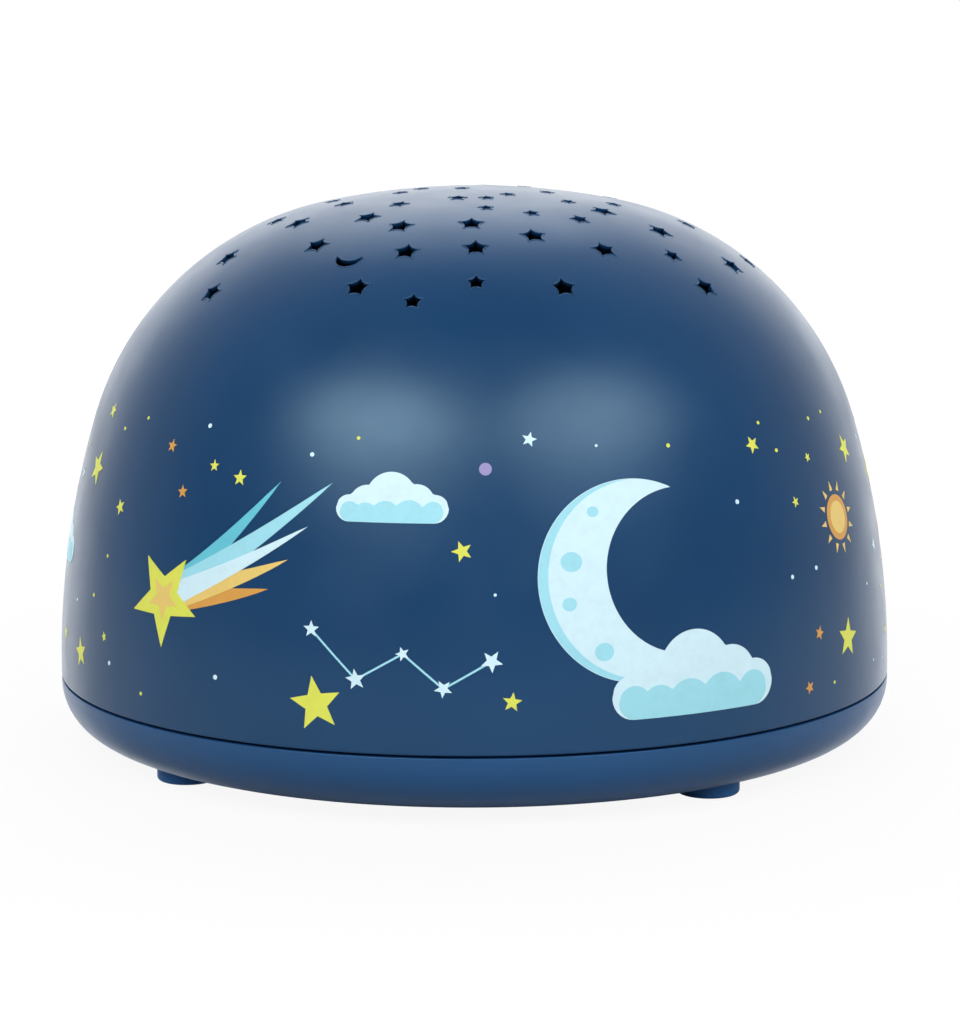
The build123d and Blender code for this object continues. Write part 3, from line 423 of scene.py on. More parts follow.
def emitter_phosphor():
    """Phosphor disc, deeper at its middle, in a pale rim."""
    nodes = Nodes("led_yellow", Roughness=0.5)
    x, y, _ = nodes.axes()
    out = nodes.spread(nodes.length(x, y), 0.0, 1.0, 0.0, EMITTER_RADIUS * MM)
    deep, yellow, rim = linear(236, 190, 40), linear(240, 206, 84), linear(232, 232, 226)
    nodes.colour(nodes.ramp(out, (0.0, deep), (PHOSPHOR_DEEP, yellow), (PHOSPHOR_END, rim)))
    nodes.bump(nodes.noise(scale=2400.0), COARSE_RELIEF)
    return nodes.material


def lens_clear():
    """Clear moulded lens with faint flow lines."""
    nodes = Nodes("lens_clear", Transmission_Weight=1.0, IOR=1.49, Base_Color=(0.97, 0.98, 0.98, 1.0))
    nodes.rough(nodes.spread(nodes.noise(scale=500.0), low=0.03, high=0.09))
    nodes.bump(nodes.noise(scale=900.0), FINE_RELIEF)
    return nodes.material


GLOSS = {"Specular_Tint": [0.58, 0.86, 1.0, 1.0], "Specular_IOR_Level": 0.7}
# The dome's plastic carries painted shade on the walls of its holes, below its outer face
navy_shell = moulded(
    "navy_shell", linear(12, 55, 96), rough=0.31, shade=painted_hole_shade, face=dome_normal, **GLOSS
)
navy_base = moulded("navy_base", linear(24, 70, 118), rough=0.38, **GLOSS)
navy_button = moulded("navy_button", linear(18, 60, 103), rough=0.29, **GLOSS)
navy_rubber = moulded(
    "navy_rubber", linear(41, 99, 157), rough=0.62, tone=0.1, grain=1500.0, depth=RUBBER_RELIEF,
    Specular_IOR_Level=0.3,
)
deck_plastic = moulded("deck_plastic", linear(196, 198, 196), rough=0.5, tone=0.03)
switch_black = moulded("switch_black", linear(28, 28, 30), rough=0.45)
chip_black = moulded("chip_black", linear(34, 34, 36), rough=0.62, grain=4200.0)
wire_red = moulded("wire_red", linear(172, 38, 34), rough=0.42)
wire_black = moulded("wire_black", linear(26, 26, 28), rough=0.42)
screw_steel = plated("screw_steel", linear(176, 178, 182), rough=0.3)
contact_nickel = plated("contact_nickel", linear(196, 192, 182), rough=0.24, streak=6.0)
can_aluminium = plated("can_aluminium", linear(200, 202, 206), rough=0.28, streak=0.1)
jacket_right = cell_jacket("cell_jacket_right", 1)
jacket_left = cell_jacket("cell_jacket_left", -1)

FINISHES = {
    "dome_shell": navy_shell,
    "base_shell": navy_base,
    "battery_door": navy_base,
    "power_button": navy_button,
    "foot_front_left": navy_rubber,
    "foot_front_right": navy_rubber,
    "foot_rear_left": navy_rubber,
    "foot_rear_right": navy_rubber,
    "casing_screws": screw_steel,
    "door_screw": screw_steel,
    "deck_screws": screw_steel,
    "board_screws": screw_steel,
    "led_board_screws": screw_steel,
    "battery_front": jacket_right,
    "battery_middle": jacket_left,
    "battery_rear": jacket_right,
    "battery_springs": contact_nickel,
    "contact_negative": contact_nickel,
    "contact_positive": contact_nickel,
    "contact_bridge_left": contact_nickel,
    "contact_bridge_right": contact_nickel,
    "led_deck": deck_plastic,
    "led_board": board_lacquer("led_board_white", linear(222, 222, 216), linear(206, 204, 192), 260.0),
    "led_emitter": emitter_phosphor(),
    "led_lens": lens_clear(),
    "main_board": board_lacquer("board_green", linear(28, 84, 52), linear(58, 118, 72), 210.0),
    "control_chip": chip_black,
    "capacitor": can_aluminium,
    "switch_body": switch_black,
    "switch_plunger": switch_black,
    "usb_socket": socket_steel(),
    "led_wire_red": wire_red,
    "battery_wire_red": wire_red,
    "led_wire_black": wire_black,
    "battery_wire_black": wire_black,
}
for node, finish in FINISHES.items():
    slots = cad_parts[node].data.materials
    slots.clear()
    slots.append(finish)


# The scene's own pieces


def add_piece(name, mesh, material):
    """Turn a bmesh into a piece that rides on the lamp, with the finish of a slot of the record."""
    data = bpy.data.meshes.new(name)
    mesh.to_mesh(data)
    mesh.free()
    data.materials.append(material)
    piece = bpy.data.objects.new(name, data)
    scene.collection.objects.link(piece)
    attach(piece, "lamp")
    return piece


def add_ring(mesh, centre, first, second, radius, sides):
    """Ring of vertices round a centre, in the plane of two unit vectors, from sizes in millimetres."""
    turns = [2 * math.pi * k / sides for k in range(sides)]
    return [
        mesh.verts.new((centre + (first * math.cos(t) + second * math.sin(t)) * radius) * MM) for t in turns
    ]


def join_rings(mesh, pairs):
    """Smooth skin between each ring and the next."""
    for ring, after in pairs:
        for k in range(len(ring)):
            j = (k + 1) % len(ring)
            mesh.faces.new((ring[k], ring[j], after[j], after[k])).smooth = True


# Dome surface


def meridian(rise):
    """Radius, height and lean of the dome, rise millimetres up its side from the rim."""
    if rise <= SIDE_LENGTH:
        lean = rise / SIDE_RADIUS
        return (
            SEAM_RADIUS - SIDE_RADIUS * (1 - math.cos(lean)),
            DOME_RIM + SIDE_RADIUS * math.sin(lean),
            lean,
        )
    lean = SIDE_SWEEP + (rise - SIDE_LENGTH) / SHOULDER_RADIUS
    return (
        SHOULDER_CENTRE_RADIUS + SHOULDER_RADIUS * math.cos(lean),
        SHOULDER_CENTRE_Z + SHOULDER_RADIUS * math.sin(lean),
        lean,
    )


def on_dome(bearing, rise, proud):
    """Point in metres, at a bearing from the front, standing proud millimetres off the dome."""
    radius, height, lean = meridian(rise)
    radius += proud * math.cos(lean)
    height += proud * math.sin(lean)
    return Vector((math.sin(bearing) * radius, -math.cos(bearing) * radius, height)) * MM


# Lips of the star and moon holes: a slight moulded bead along each hole's outer edge
LIP_RADIUS = 0.15
LIP_SINK = 0.06
LIP_SIDES = 8
# Least angle in radians between the faces of a hole's edge
LIP_ANGLE = 0.6
# The holes lie within this distance from the axis, and their outer edges this near the dome's arcs
HOLE_REACH = 56.0
ON_SURFACE = 0.03
MERGE_DISTANCE = 1e-7
TINY = 1e-6


def crown_normal(point):
    """Outward normal of the dome's shoulder and crown at a point in millimetres, or None off them."""
    radius = math.hypot(point.x, point.y)
    if radius > HOLE_REACH or point.z < SIDE_END_Z:
        return None
    if radius > SHOULDER_END_RADIUS:
        across, up, arc = radius - SHOULDER_CENTRE_RADIUS, point.z - SHOULDER_CENTRE_Z, SHOULDER_RADIUS
    else:
        across, up, arc = radius, point.z - CROWN_CENTRE_Z, CROWN_RADIUS
    if abs(math.hypot(across, up) - arc) > ON_SURFACE:
        return None
    outward = Vector((point.x, point.y, 0)) / max(radius, TINY)
    return (outward * across + Vector((0, 0, up))).normalized()


def hole_loops():
    """Closed loops of points, in millimetres, along the outer edges of the dome's holes."""
    mesh = bmesh.new()
    mesh.from_mesh(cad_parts["dome_shell"].data)
    bmesh.ops.remove_doubles(mesh, verts=mesh.verts, dist=MERGE_DISTANCE)
    neighbours = {}
    for edge in mesh.edges:
        if len(edge.link_faces) == 2 and edge.calc_face_angle() > LIP_ANGLE:
            ends = [vertex.co / MM for vertex in edge.verts]
            if all(crown_normal(end) for end in ends):
                first, second = (vertex.index for vertex in edge.verts)
                neighbours.setdefault(first, []).append(second)
                neighbours.setdefault(second, []).append(first)
    mesh.verts.ensure_lookup_table()
    loops, seen = [], set()
    for start in sorted(neighbours):
        if start in seen:
            continue
        loop, here = [], start
        while here is not None:
            seen.add(here)
            loop.append(mesh.verts[here].co / MM)
            here = next((n for n in neighbours[here] if n not in seen), None)
        loops.append(loop)
    mesh.free()
    return loops


def make_lips():
    mesh = bmesh.new()
    for loop in hole_loops():
        pairs = list(zip(loop, loop[1:] + loop[:1]))
        turning = sum((a.cross(b) for a, b in pairs), Vector()).dot(crown_normal(loop[0]))
        outward = 1 if turning > 0 else -1
        rings = []
        for n, point in enumerate(loop):
            along = (loop[(n + 1) % len(loop)] - loop[n - 1]).normalized()
            normal = crown_normal(point)
            side = along.cross(normal).normalized() * outward
            centre = point + side * LIP_RADIUS - normal * LIP_SINK
            rings.append(add_ring(mesh, centre, side, normal, LIP_RADIUS, LIP_SIDES))
        join_rings(mesh, zip(rings, rings[1:] + rings[:1]))
    bmesh.ops.recalc_face_normals(mesh, faces=mesh.faces)
    add_piece("hole_lips", mesh, navy_shell)


make_lips()


# Battery springs: tapered coils between the contacts and the flat ends of the cells
SPRING_LENGTH = 5.0
SPRING_WIRE = 0.4
SPRING_RADIUS = 4.0
SPRING_TIP_RADIUS = 2.8
SPRING_TURNS = 3.5
SPRING_STEPS = 28
SPRING_SIDES = 10
# Side of X that each cell's head is on
CELL_HEADS = {"battery_front": 1, "battery_middle": -1, "battery_rear": 1}


def tube(mesh, points, radius, sides):
    """Closed round tube along points, with its ends capped."""
    rings = []
    for n, point in enumerate(points):
        along = (points[min(n + 1, len(points) - 1)] - points[max(n - 1, 0)]).normalized()
        side = along.cross(Vector((1, 0, 0))).normalized()
        rings.append(add_ring(mesh, point, side, along.cross(side), radius, sides))
    join_rings(mesh, zip(rings, rings[1:]))
    mesh.faces.new(rings[0])
    mesh.faces.new(rings[-1])


def make_springs():
    mesh = bmesh.new()
    for cell, head in CELL_HEADS.items():
        low, high = (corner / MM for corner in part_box(cell))
        tail = low.x if head > 0 else high.x
        steps = int(SPRING_TURNS * SPRING_STEPS)
        points = []
        for n in range(steps + 1):
            share = n / steps
            radius = SPRING_TIP_RADIUS + (SPRING_RADIUS - SPRING_TIP_RADIUS) * share
            turn = 2 * math.pi * SPRING_TURNS * share
            reach = SPRING_WIRE + (SPRING_LENGTH - 2 * SPRING_WIRE) * share
            axis = Vector((tail - head * reach, (low.y + high.y) / 2, (low.z + high.z) / 2))
            points.append(axis + Vector((0, math.cos(turn), math.sin(turn))) * radius)
        tube(mesh, points, SPRING_WIRE, SPRING_SIDES)
    bmesh.ops.recalc_face_normals(mesh, faces=mesh.faces)
    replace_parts(add_piece("spring_coils", mesh, contact_nickel), "battery_springs")


make_springs()


# Print

INKS = {
    "yellow": linear(216, 221, 88),
    "ice": linear(203, 232, 242),
    "aqua": linear(154, 215, 229),
    "teal": linear(98, 190, 208),
    "orange": linear(210, 154, 74),
    "sand": linear(226, 196, 112),
    "lilac": linear(150, 142, 190),
}
# Height of the ink over the dome, what each layer adds, and where its edges end in the dome's wall
INK_BASE = 0.025
INK_LAYER = 0.02
INK_ROOT = -0.06
# Longest side of an outline, spacing of the points inside it, and how near its edge they come
INK_EDGE = 0.7
INK_GRID = 1.6
INK_MARGIN = 0.55
INK_STAR_WAIST = 0.43
INK_STAR_POINTS = 5
CRATER_SQUASH = 0.9
# Turn from each star of a chain to the next
CHAIN_TURN = 10
TAIL_TAPER = 0.8

ink_meshes = {ink: bmesh.new() for ink in INKS}


def turned(outline, degrees, scale=1.0, shift=(0.0, 0.0)):
    """The outline turned, scaled and then moved."""
    c, s = math.cos(math.radians(degrees)) * scale, math.sin(math.radians(degrees)) * scale
    return [(u * c - v * s + shift[0], u * s + v * c + shift[1]) for u, v in outline]


def star(tip):
    step = math.pi / INK_STAR_POINTS
    shares = [INK_STAR_WAIST if n % 2 else 1 for n in range(2 * INK_STAR_POINTS)]
    return [(-math.sin(step * n) * tip * s, math.cos(step * n) * tip * s) for n, s in enumerate(shares)]


def disc(radius, u=0.0, v=0.0, squash=1.0):
    count = max(12, int(2 * math.pi * radius / INK_EDGE))
    angles = [2 * math.pi * n / count for n in range(count)]
    return [(u + radius * math.cos(a), v + radius * squash * math.sin(a)) for a in angles]


def arc(u, v, radius, start, end):
    """Points of an arc from one angle to another, in degrees, both ends included."""
    count = max(6, int(abs(math.radians(end - start)) * radius / INK_EDGE))
    angles = [math.radians(start + (end - start) * n / count) for n in range(count + 1)]
    return [(u + radius * math.cos(a), v + radius * math.sin(a)) for a in angles]


def crescent(radius, cut, offset):
    """Moon open towards +u: a disc less a disc of radius cut, offset along u."""
    meet_u = (radius**2 - cut**2 + offset**2) / (2 * offset)
    meet_v = math.sqrt(radius**2 - meet_u**2)
    outer = math.degrees(math.atan2(meet_v, meet_u))
    inner = math.degrees(math.atan2(meet_v, meet_u - offset))
    return arc(0, 0, radius, outer, 360 - outer) + arc(offset, 0, cut, 360 - inner, inner)[1:-1]


def cloud(lobes):
    """Flat-bottomed cloud on the line v = 0; each lobe is a centre's u and v and a radius."""
    (left, _, left_radius), (right, _, right_radius) = lobes[0], lobes[-1]
    start, end = left - left_radius, right + right_radius
    count = int((end - start) / (0.5 * INK_EDGE))
    top = []
    for n in range(1, count):
        u = end + (start - end) * n / count
        reach = [(c, v, r) for c, v, r in lobes if abs(u - c) < r]
        top.append((u, max(v + math.sqrt(r * r - (u - c) ** 2) for c, v, r in reach)))
    return (
        arc(left, left_radius, left_radius, 180, 270)
        + arc(right, right_radius, right_radius, 270, 360)
        + top
    )


def streak(length, width, lean, bow):
    """Tail from the origin along +u, leaning by an angle in degrees, bowed towards +v and tapering."""
    count = int(length / (0.6 * INK_EDGE))
    shares = [n / count for n in range(count + 1)]
    slope = math.tan(math.radians(lean))
    spine = [(length * t, length * t * slope + bow * t * t) for t in shares]
    half = [width / 2 * (1 - t) ** TAIL_TAPER for t in shares]
    lower = [(u, v - h) for (u, v), h in zip(spine, half)]
    upper = [(u, v + h) for (u, v), h in zip(spine, half)]
    return lower + upper[-2::-1]


def inside(point, outline):
    """Whether a point lies in the outline, and not within the margin of its edge."""
    u, v = point
    within = False
    for (u1, v1), (u2, v2) in zip(outline, outline[1:] + outline[:1]):
        if (v1 > v) != (v2 > v) and u < (u2 - u1) * (v - v1) / (v2 - v1) + u1:
            within = not within
        du, dv = u2 - u1, v2 - v1
        t = max(0.0, min(1.0, ((u - u1) * du + (v - v1) * dv) / max(du * du + dv * dv, TINY**2)))
        if math.hypot(u - u1 - t * du, v - v1 - t * dv) < INK_MARGIN:
            return False
    return within


def divided(outline):
    """The outline with its long sides cut into short ones."""
    points = []
    for (u1, v1), (u2, v2) in zip(outline, outline[1:] + outline[:1]):
        parts = max(1, math.ceil(math.hypot(u2 - u1, v2 - v1) / INK_EDGE))
        points += [(u1 + (u2 - u1) * n / parts, v1 + (v2 - v1) * n / parts) for n in range(parts)]
    return points


def lay(ink, layer, outline, bearing, rise):
    """Lay a patch of ink on the dome, centred on a bearing in degrees and a rise in millimetres."""
    outline = divided(outline)
    us, vs = [u for u, _ in outline], [v for _, v in outline]
    grid = [
        (min(us) + INK_GRID * (i + 0.5 * (j % 2)), min(vs) + INK_GRID * j)
        for j in range(int((max(vs) - min(vs)) / INK_GRID) + 1)
        for i in range(int((max(us) - min(us)) / INK_GRID) + 1)
    ]
    points = outline + [point for point in grid if inside(point, outline)]
    edges = [(n, (n + 1) % len(outline)) for n in range(len(outline))]
    flat, _, faces, *_ = delaunay_2d_cdt([Vector(p) for p in points], edges, [], 1, MERGE_DISTANCE)
    mesh = ink_meshes[ink]
    proud = INK_BASE + INK_LAYER * layer

    def raised(height):
        turns = [math.radians(bearing) + p.x / meridian(rise + p.y)[0] for p in flat]
        return [mesh.verts.new(on_dome(turn, rise + p.y, height)) for turn, p in zip(turns, flat)]

    top, root = raised(proud), raised(INK_ROOT)
    sides = {}
    for a, b, c in faces:
        if (flat[b] - flat[a]).cross(flat[c] - flat[a]) < 0:
            b, c = c, b
        mesh.faces.new((top[a], top[b], top[c])).smooth = True
        mesh.faces.new((root[c], root[b], root[a]))
        for pair in ((a, b), (b, c), (c, a)):
            sides[pair] = True
    for a, b in sides:
        if (b, a) not in sides:
            mesh.faces.new((top[b], top[a], root[a], root[b]))
            mesh.edges.get((top[a], top[b])).smooth = False


def moon_motif(radius):
    """Crescent with a shaded outer edge and a few craters."""
    cut, offset = radius * 0.82, radius * 0.52
    spots = [(-0.62, 0.30, 0.11), (-0.72, -0.10, 0.075), (-0.46, -0.62, 0.10), (-0.30, 0.74, 0.06)]
    return [
        ("ice", 0, crescent(radius, cut, offset)),
        ("aqua", 1, crescent(radius * 0.995, radius * 0.985, radius * 0.09)),
    ] + [("aqua", 1, disc(radius * r, radius * u, radius * v, CRATER_SQUASH)) for u, v, r in spots]


def cloud_motif(size, layer=1):
    """Pale cloud with a shaded belly."""
    body = [
        (-1.3, 0.4, 0.4), (-0.75, 0.55, 0.55), (-0.05, 0.75, 0.75), (0.7, 0.6, 0.55), (1.25, 0.42, 0.42),
    ]
    belly = [
        (-1.28, 0.3, 0.3), (-0.8, 0.24, 0.34), (-0.2, 0.2, 0.44), (0.5, 0.22, 0.46), (1.2, 0.32, 0.32),
    ]
    return [
        ("ice", layer, cloud([(u * size, v * size, r * size) for u, v, r in body])),
        ("aqua", layer + 1, cloud([(u * size, v * size, r * size) for u, v, r in belly])),
    ]


def comet_motif(size):
    """Shooting star: a star with a swept tail of five colours."""
    tails = [
        ("teal", 0, streak(6.0, 1.1, 10, 1.2)),
        ("aqua", 1, streak(7.8, 1.2, 3, 1.1)),
        ("ice", 2, streak(6.6, 0.9, -3, 0.7)),
        ("sand", 1, streak(5.6, 1.1, -10, 0.5)),
        ("orange", 0, streak(4.6, 1.1, -18, 0.3)),
    ]
    patches = [(ink, layer, turned(outline, 0, size)) for ink, layer, outline in tails]
    return patches + [("yellow", 3, turned(star(1.75), 14, size)), ("sand", 4, turned(star(0.8), 14, size))]


def sun_motif(radius):
    """Disc with short rays."""
    rays = 12
    ray = [(radius * 1.2, -radius * 0.13), (radius * 1.62, 0.0), (radius * 1.2, radius * 0.13)]
    return [
        ("orange", 0, disc(radius)),
        ("sand", 1, disc(radius * 0.72)),
    ] + [("sand", 0, turned(ray, 360 * n / rays)) for n in range(rays)]


def full_moon_motif(radius, ground, spot):
    """Disc with a few craters."""
    spots = [
        (0.36, 0.42, 0.2), (-0.4, 0.12, 0.26), (0.16, -0.5, 0.16), (0.56, -0.08, 0.1), (-0.3, 0.66, 0.1),
    ]
    return [(ground, 0, disc(radius))] + [
        (spot, 1, disc(radius * r, radius * u, radius * v, CRATER_SQUASH)) for u, v, r in spots
    ]


def chain_motif(stops, width):
    """Small stars joined by fine lines."""
    patches = []
    for (u1, v1, _), (u2, v2, _) in zip(stops, stops[1:]):
        length = math.hypot(u2 - u1, v2 - v1)
        line = [(0, -width / 2), (length, -width / 2), (length, width / 2), (0, width / 2)]
        slope = math.degrees(math.atan2(v2 - v1, u2 - u1))
        patches.append(("aqua", 0, turned(line, slope, 1.0, (u1, v1))))
    for n, (u, v, tip) in enumerate(stops):
        patches.append(("ice", 1, turned(star(tip), CHAIN_TURN * n, 1.0, (u, v))))
    return patches


# Stars of the chain: place and tip
CHAIN = [(-13, 3, 1.3), (-6, -4, 1.6), (1, 0, 1.1), (7, -5, 1.4), (14, -1, 1.7)]
CHAIN_LINE = 0.3
# Each group: motif, bearing in degrees, rise, turn and the radius that it keeps clear
GROUPS = [
    (comet_motif(4.3), -37, 20.0, 24, 0),
    (moon_motif(15.0), 27, 25.0, 8, 17),
    (cloud_motif(8.4, 3), 35, 4.5, 0, 0),
    (cloud_motif(5.0), -4, 34.0, 0, 9),
    (chain_motif(CHAIN, CHAIN_LINE), -3, 15.0, 0, 14),
    (sun_motif(3.6), 65, 30.0, 8, 7),
    (cloud_motif(5.4), -74, 20.0, 0, 10),
    (full_moon_motif(6.2, "aqua", "teal"), -100, 36.0, -14, 9),
    (moon_motif(9.5), -134, 28.0, -20, 12),
    (cloud_motif(5.0), -118, 8.0, 0, 9),
    (comet_motif(3.2), 100, 18.0, 24, 0),
    (cloud_motif(5.6), 142, 36.0, 0, 10),
    (full_moon_motif(4.2, "sand", "orange"), -164, 38.0, 20, 7),
]
# Other places kept clear of the scattered stars, round tails and clouds and round the rear hardware:
# bearing, rise and radius
TAIL_CLEAR = [
    (-37, 20.0, 8.0),
    (-26, 26.0, 9.0),
    (-16, 32.0, 7.0),
    (28, 10.0, 11.0),
    (42, 8.0, 10.0),
    (100, 18.0, 6.0),
    (110, 23.0, 8.0),
]
HARDWARE_CLEAR = [(180, 12.5, 12.0), (166, 10.6, 11.0)]
# Larger stars: bearing, rise, tip and turn
BRIGHT_STARS = [
    (-13, 7.0, 4.2, 10),
    (-61, 37.0, 2.9, -14),
    (-58, 7.5, 2.5, 12),
    (11, 8.0, 1.5, -8),
    (5, 30.0, 1.6, 20),
    (64, 11.0, 3.2, -9),
    (73, 40.0, 2.4, 16),
    (-86, 8.5, 3.0, 6),
    (-84, 36.0, 2.2, -18),
    (-118, 44.0, 2.6, 8),
    (-152, 14.0, 3.4, -12),
    (88, 34.0, 2.9, 14),
    (124, 8.0, 3.6, -16),
    (136, 26.0, 2.4, 22),
    (164, 28.0, 2.7, -6),
    (112, 40.0, 2.5, 4),
]
# Scattered stars: tips and inks, the tip up to which a star is a dot, how many are tried, from how many
# places the roomiest is taken, between which rises, and the gap around each
STAR_SIZES = [1.4, 0.5, 1.3, 0.5, 0.4, 1.2, 0.6, 1.1, 0.5, 0.4, 0.9, 0.5, 0.8, 0.4, 0.6, 0.7]
STAR_INKS = {1.2: "ice", 1.1: "orange", 0.6: "ice", 0.4: "ice"}
DOT_LIMIT = 0.6
STAR_COUNT = 128
STAR_DRAWS = 6
STAR_LOW, STAR_HIGH = 4.0, 48.0
STAR_GAP = 2.0
# How much a star's size varies, how far it turns, and a dot's radius as a share of its size
STAR_STRETCH = (0.92, 1.08)
STAR_TURN = 26
DOT_SHARE = 0.6
SCATTER_SEED = 23
LILAC_DOTS = [(8, 42.0), (-88, 27.0), (130, 22.0)]
LILAC_RADIUS = 0.95
LILAC_CLEAR = 1.0


def clearance(taken, bearing, rise):
    """Room in millimetres between a place on the dome and the nearest motif."""
    around = meridian(rise)[0]
    return min(
        math.hypot(math.radians((bearing - b + 180) % 360 - 180) * around, rise - r) - clear
        for b, r, clear in taken
    )


def scatter_stars():
    """Stars and dots between the larger motifs, from a fixed seed."""
    draws = random.Random(SCATTER_SEED)
    taken = [(b, r, clear) for _, b, r, _, clear in GROUPS if clear] + TAIL_CLEAR + HARDWARE_CLEAR
    taken += [(b, r, LILAC_CLEAR) for b, r in LILAC_DOTS]
    for bearing, rise, tip, turn in BRIGHT_STARS:
        taken.append((bearing, rise, tip))
        lay("yellow", 0, turned(star(tip), turn), bearing, rise)
    for n in range(STAR_COUNT):
        size = STAR_SIZES[n % len(STAR_SIZES)]
        tip = size * draws.uniform(*STAR_STRETCH)
        room, bearing, rise = max(
            (clearance(taken, b, r), b, r)
            for b, r in (
                (draws.uniform(-180, 180), draws.uniform(STAR_LOW + tip, STAR_HIGH - tip))
                for _ in range(STAR_DRAWS)
            )
        )
        if room < tip + STAR_GAP:
            continue
        taken.append((bearing, rise, tip))
        ink = STAR_INKS.get(size, "yellow")
        if size <= DOT_LIMIT:
            lay(ink, 0, disc(tip * DOT_SHARE), bearing, rise)
        else:
            lay(ink, 0, turned(star(tip), draws.uniform(-STAR_TURN, STAR_TURN)), bearing, rise)
    for bearing, rise in LILAC_DOTS:
        lay("lilac", 0, disc(LILAC_RADIUS), bearing, rise)


for motif, bearing, rise, turn, _ in GROUPS:
    for ink, layer, outline in motif:
        lay(ink, layer, turned(outline, turn), bearing, rise)
scatter_stars()
for ink, mesh in ink_meshes.items():
    add_piece("print_" + ink, mesh, printed("ink_" + ink, INKS[ink]))


# Stage

TARGET = Vector((0, 0, 0.045))
WHITE = (1.0, 1.0, 1.0, 1.0)
# Direction away from the camera, level
FORWARD = (-math.sin(CAMERA_AZIMUTH), math.cos(CAMERA_AZIMUTH), 0)
# Brightness of the room by how far a direction goes forward
ROOM = [(-1.0, 0.10), (-0.15, 0.17), (0.05, 0.27), (0.41, 0.42), (0.64, 0.62), (1.0, 0.70)]
# What the gloss mirrors turns white between these shares of forward
AWAY_START, AWAY_END = 0.55, 0.95
# Floor: half its side, its grey to the light, its white to the camera, and the share of that white near
# the lamp, which grows to 1 from one distance to another
FLOOR_HALF = 12.0
FLOOR_PARTS = 8
FLOOR_GREY = (0.5, 0.5, 0.5, 1.0)
FLOOR_WHITE = 1.04
FLOOR_SHARE = 0.88
FADE_START, FADE_END = 0.12, 0.5
LAMP_RADIUS = 0.066
# Softboxes: sizes of their nested panels, and how far each stands in front of the last
SOFT_SHARES = [1.0, 0.75, 0.5]
SOFT_STEP = 0.005
# Lights: azimuth from the front and elevation in degrees, distance, width and height, radiance
SOFTBOXES = {
    "softbox_left": (-24, 36, 0.9, 0.9, 0.56, 5.2),
    "softbox_right": (44, 36, 0.9, 0.9, 0.56, 4.1),
}
SHEENS = {"rear_sheen": (192, 52, 0.9, 0.6, 0.5, 0.8)}
# Lights that the gloss doesn't mirror
FILLS = {
    "front_fill": (10, 33, 0.92, 0.9, 0.6, 1.5),
    "side_left": (-122, 8, 0.9, 0.9, 0.6, 2.3),
    "side_right": (122, 8, 0.9, 0.9, 0.6, 2.0),
    "rear_top": (180, 55, 0.9, 1.0, 0.5, 3.9),
}


def make_world():
    """Room that grows brighter away from the camera. The camera sees plain white, and so does the gloss
    where it mirrors what is straight behind the lamp."""
    world = bpy.data.worlds.new("studio")
    scene.world = world
    world.use_nodes = True
    nodes = Tree(world.node_tree)
    nodes.tree.nodes.clear()
    forward = nodes.dot(nodes.add("TexCoord").outputs["Generated"], FORWARD)
    stops = [((place + 1) / 2, (level, level, level, 1.0)) for place, level in ROOM]
    room, backdrop = nodes.add("Background"), nodes.add("Background")
    nodes.link(nodes.ramp(nodes.spread(forward, 0.0, 1.0, -1.0, 1.0), *stops), room.inputs["Color"])
    nodes.link(WHITE, backdrop.inputs["Color"])
    camera, mirrored = nodes.ray_kinds()
    nodes.link(nodes.math("SUBTRACT", 1.0, camera), room.inputs["Strength"])
    away = nodes.spread(forward, 0.0, 1.0, AWAY_START, AWAY_END, "SMOOTHSTEP")
    mirrored_away = nodes.math("MULTIPLY", mirrored, away)
    nodes.link(nodes.math("MAXIMUM", camera, mirrored_away), backdrop.inputs["Strength"])
    nodes.link(nodes.both(room, backdrop), nodes.add("OutputWorld").inputs["Surface"])


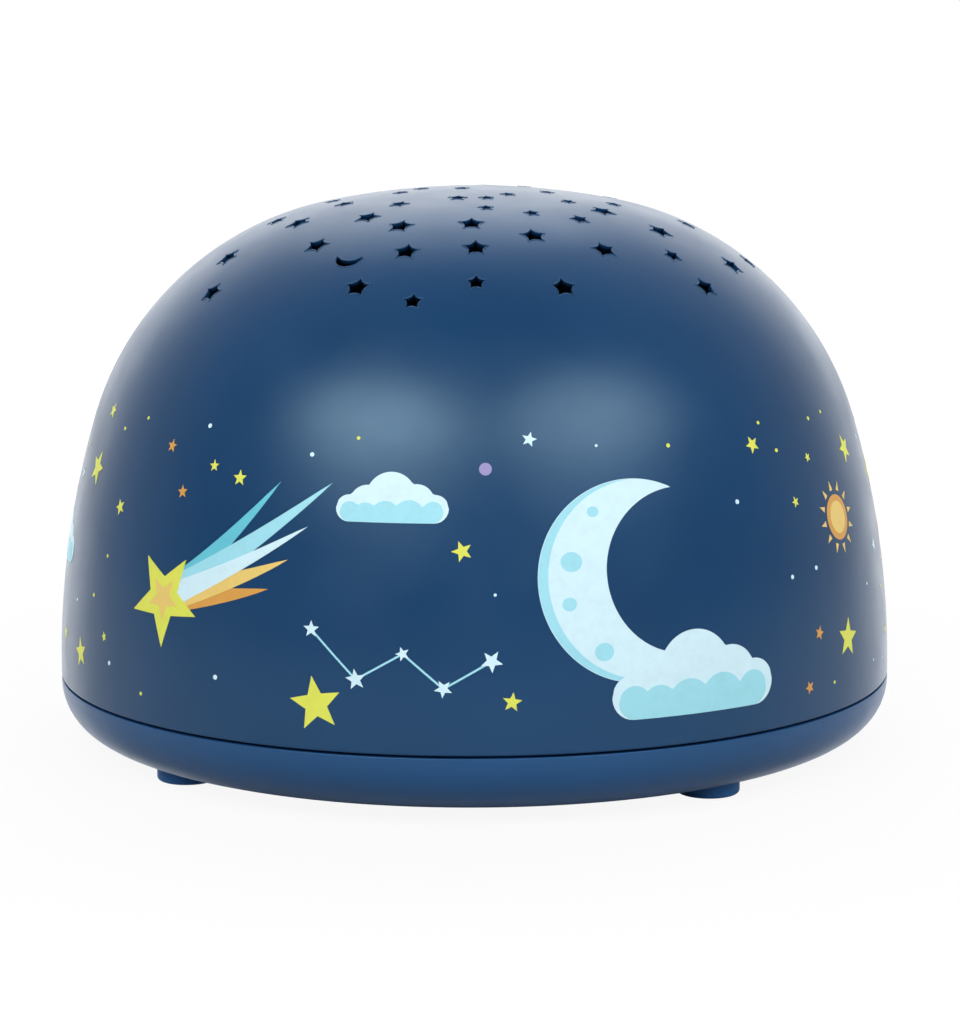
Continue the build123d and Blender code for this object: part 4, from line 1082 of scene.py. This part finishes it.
def make_floor():
    """Plain floor, turned so that its Y points away from the camera. It is white to the camera. What the
    gloss mirrors is white where a ray that leaves the lamp's side goes away from the camera."""
    mesh = bmesh.new()
    bmesh.ops.create_grid(mesh, x_segments=FLOOR_PARTS, y_segments=FLOOR_PARTS, size=FLOOR_HALF)
    data = bpy.data.meshes.new("floor")
    mesh.to_mesh(data)
    mesh.free()
    floor = bpy.data.objects.new("floor", data)
    floor.rotation_euler.z = CAMERA_AZIMUTH
    scene.collection.objects.link(floor)
    nodes = Nodes("floor_white", Base_Color=FLOOR_GREY, Roughness=0.9, Specular_IOR_Level=0.0)
    white, glow = nodes.add("Emission"), nodes.add("Emission")
    nodes.link(FLOOR_WHITE, white.inputs["Strength"])
    mix = nodes.add("MixShader")
    camera, mirrored = nodes.ray_kinds()
    x, y, _ = nodes.axes()
    out = nodes.length(x, y)
    fade = nodes.spread(out, FLOOR_SHARE, 1.0, FADE_START, FADE_END)
    nodes.link(nodes.math("MULTIPLY", camera, fade), mix.inputs["Fac"])
    nodes.link_all((nodes.shader.outputs[0], white.outputs[0]), mix.inputs[1:])
    square = nodes.math("MULTIPLY", out, out)
    run = nodes.math("SQRT", nodes.math("MAXIMUM", nodes.math("SUBTRACT", square, LAMP_RADIUS**2), 0.0))
    aside = nodes.math("MULTIPLY", nodes.math("ABSOLUTE", x), LAMP_RADIUS)
    forward = nodes.math("DIVIDE", nodes.math("ADD", nodes.math("MULTIPLY", y, run), aside), square)
    away = nodes.spread(forward, 0.0, 1.0, AWAY_START, AWAY_END, "SMOOTHSTEP")
    nodes.link(nodes.math("MULTIPLY", mirrored, away), glow.inputs["Strength"])
    nodes.link(nodes.both(mix, glow), nodes.tree.nodes["Material Output"].inputs["Surface"])
    data.materials.append(nodes.material)


def panel(name, azimuth, elevation, distance, width, height, radiance, mirrored=True):
    """Area lamp that faces the lamp's middle; azimuth 0 is in front of it. Gloss shows it if mirrored."""
    light = bpy.data.lights.new(name, "AREA")
    light.shape = "ELLIPSE"
    light.size, light.size_y = width, height
    light.energy = radiance * math.pi * (math.pi / 4 * width * height)
    lamp = bpy.data.objects.new(name, light)
    lamp.visible_glossy = mirrored
    scene.collection.objects.link(lamp)
    a, e = math.radians(azimuth), math.radians(elevation)
    away = Vector((math.sin(a) * math.cos(e), -math.cos(a) * math.cos(e), math.sin(e)))
    lamp.location = TARGET + away * distance
    lamp.rotation_euler = away.to_track_quat("Z", "Y").to_euler()


def softbox(name, azimuth, elevation, distance, width, height, radiance):
    """Softbox that is brightest at its middle: nested panels, one just in front of the other."""
    for n, share in enumerate(SOFT_SHARES):
        panel(
            f"{name}_{n}", azimuth, elevation, distance - SOFT_STEP * n,
            width * share, height * share, radiance / len(SOFT_SHARES),
        )


make_world()
make_floor()
for name, setting in SOFTBOXES.items():
    softbox(name, *setting)
for name, setting in FILLS.items():
    panel(name, *setting, mirrored=False)
for name, setting in SHEENS.items():
    panel(name, *setting)
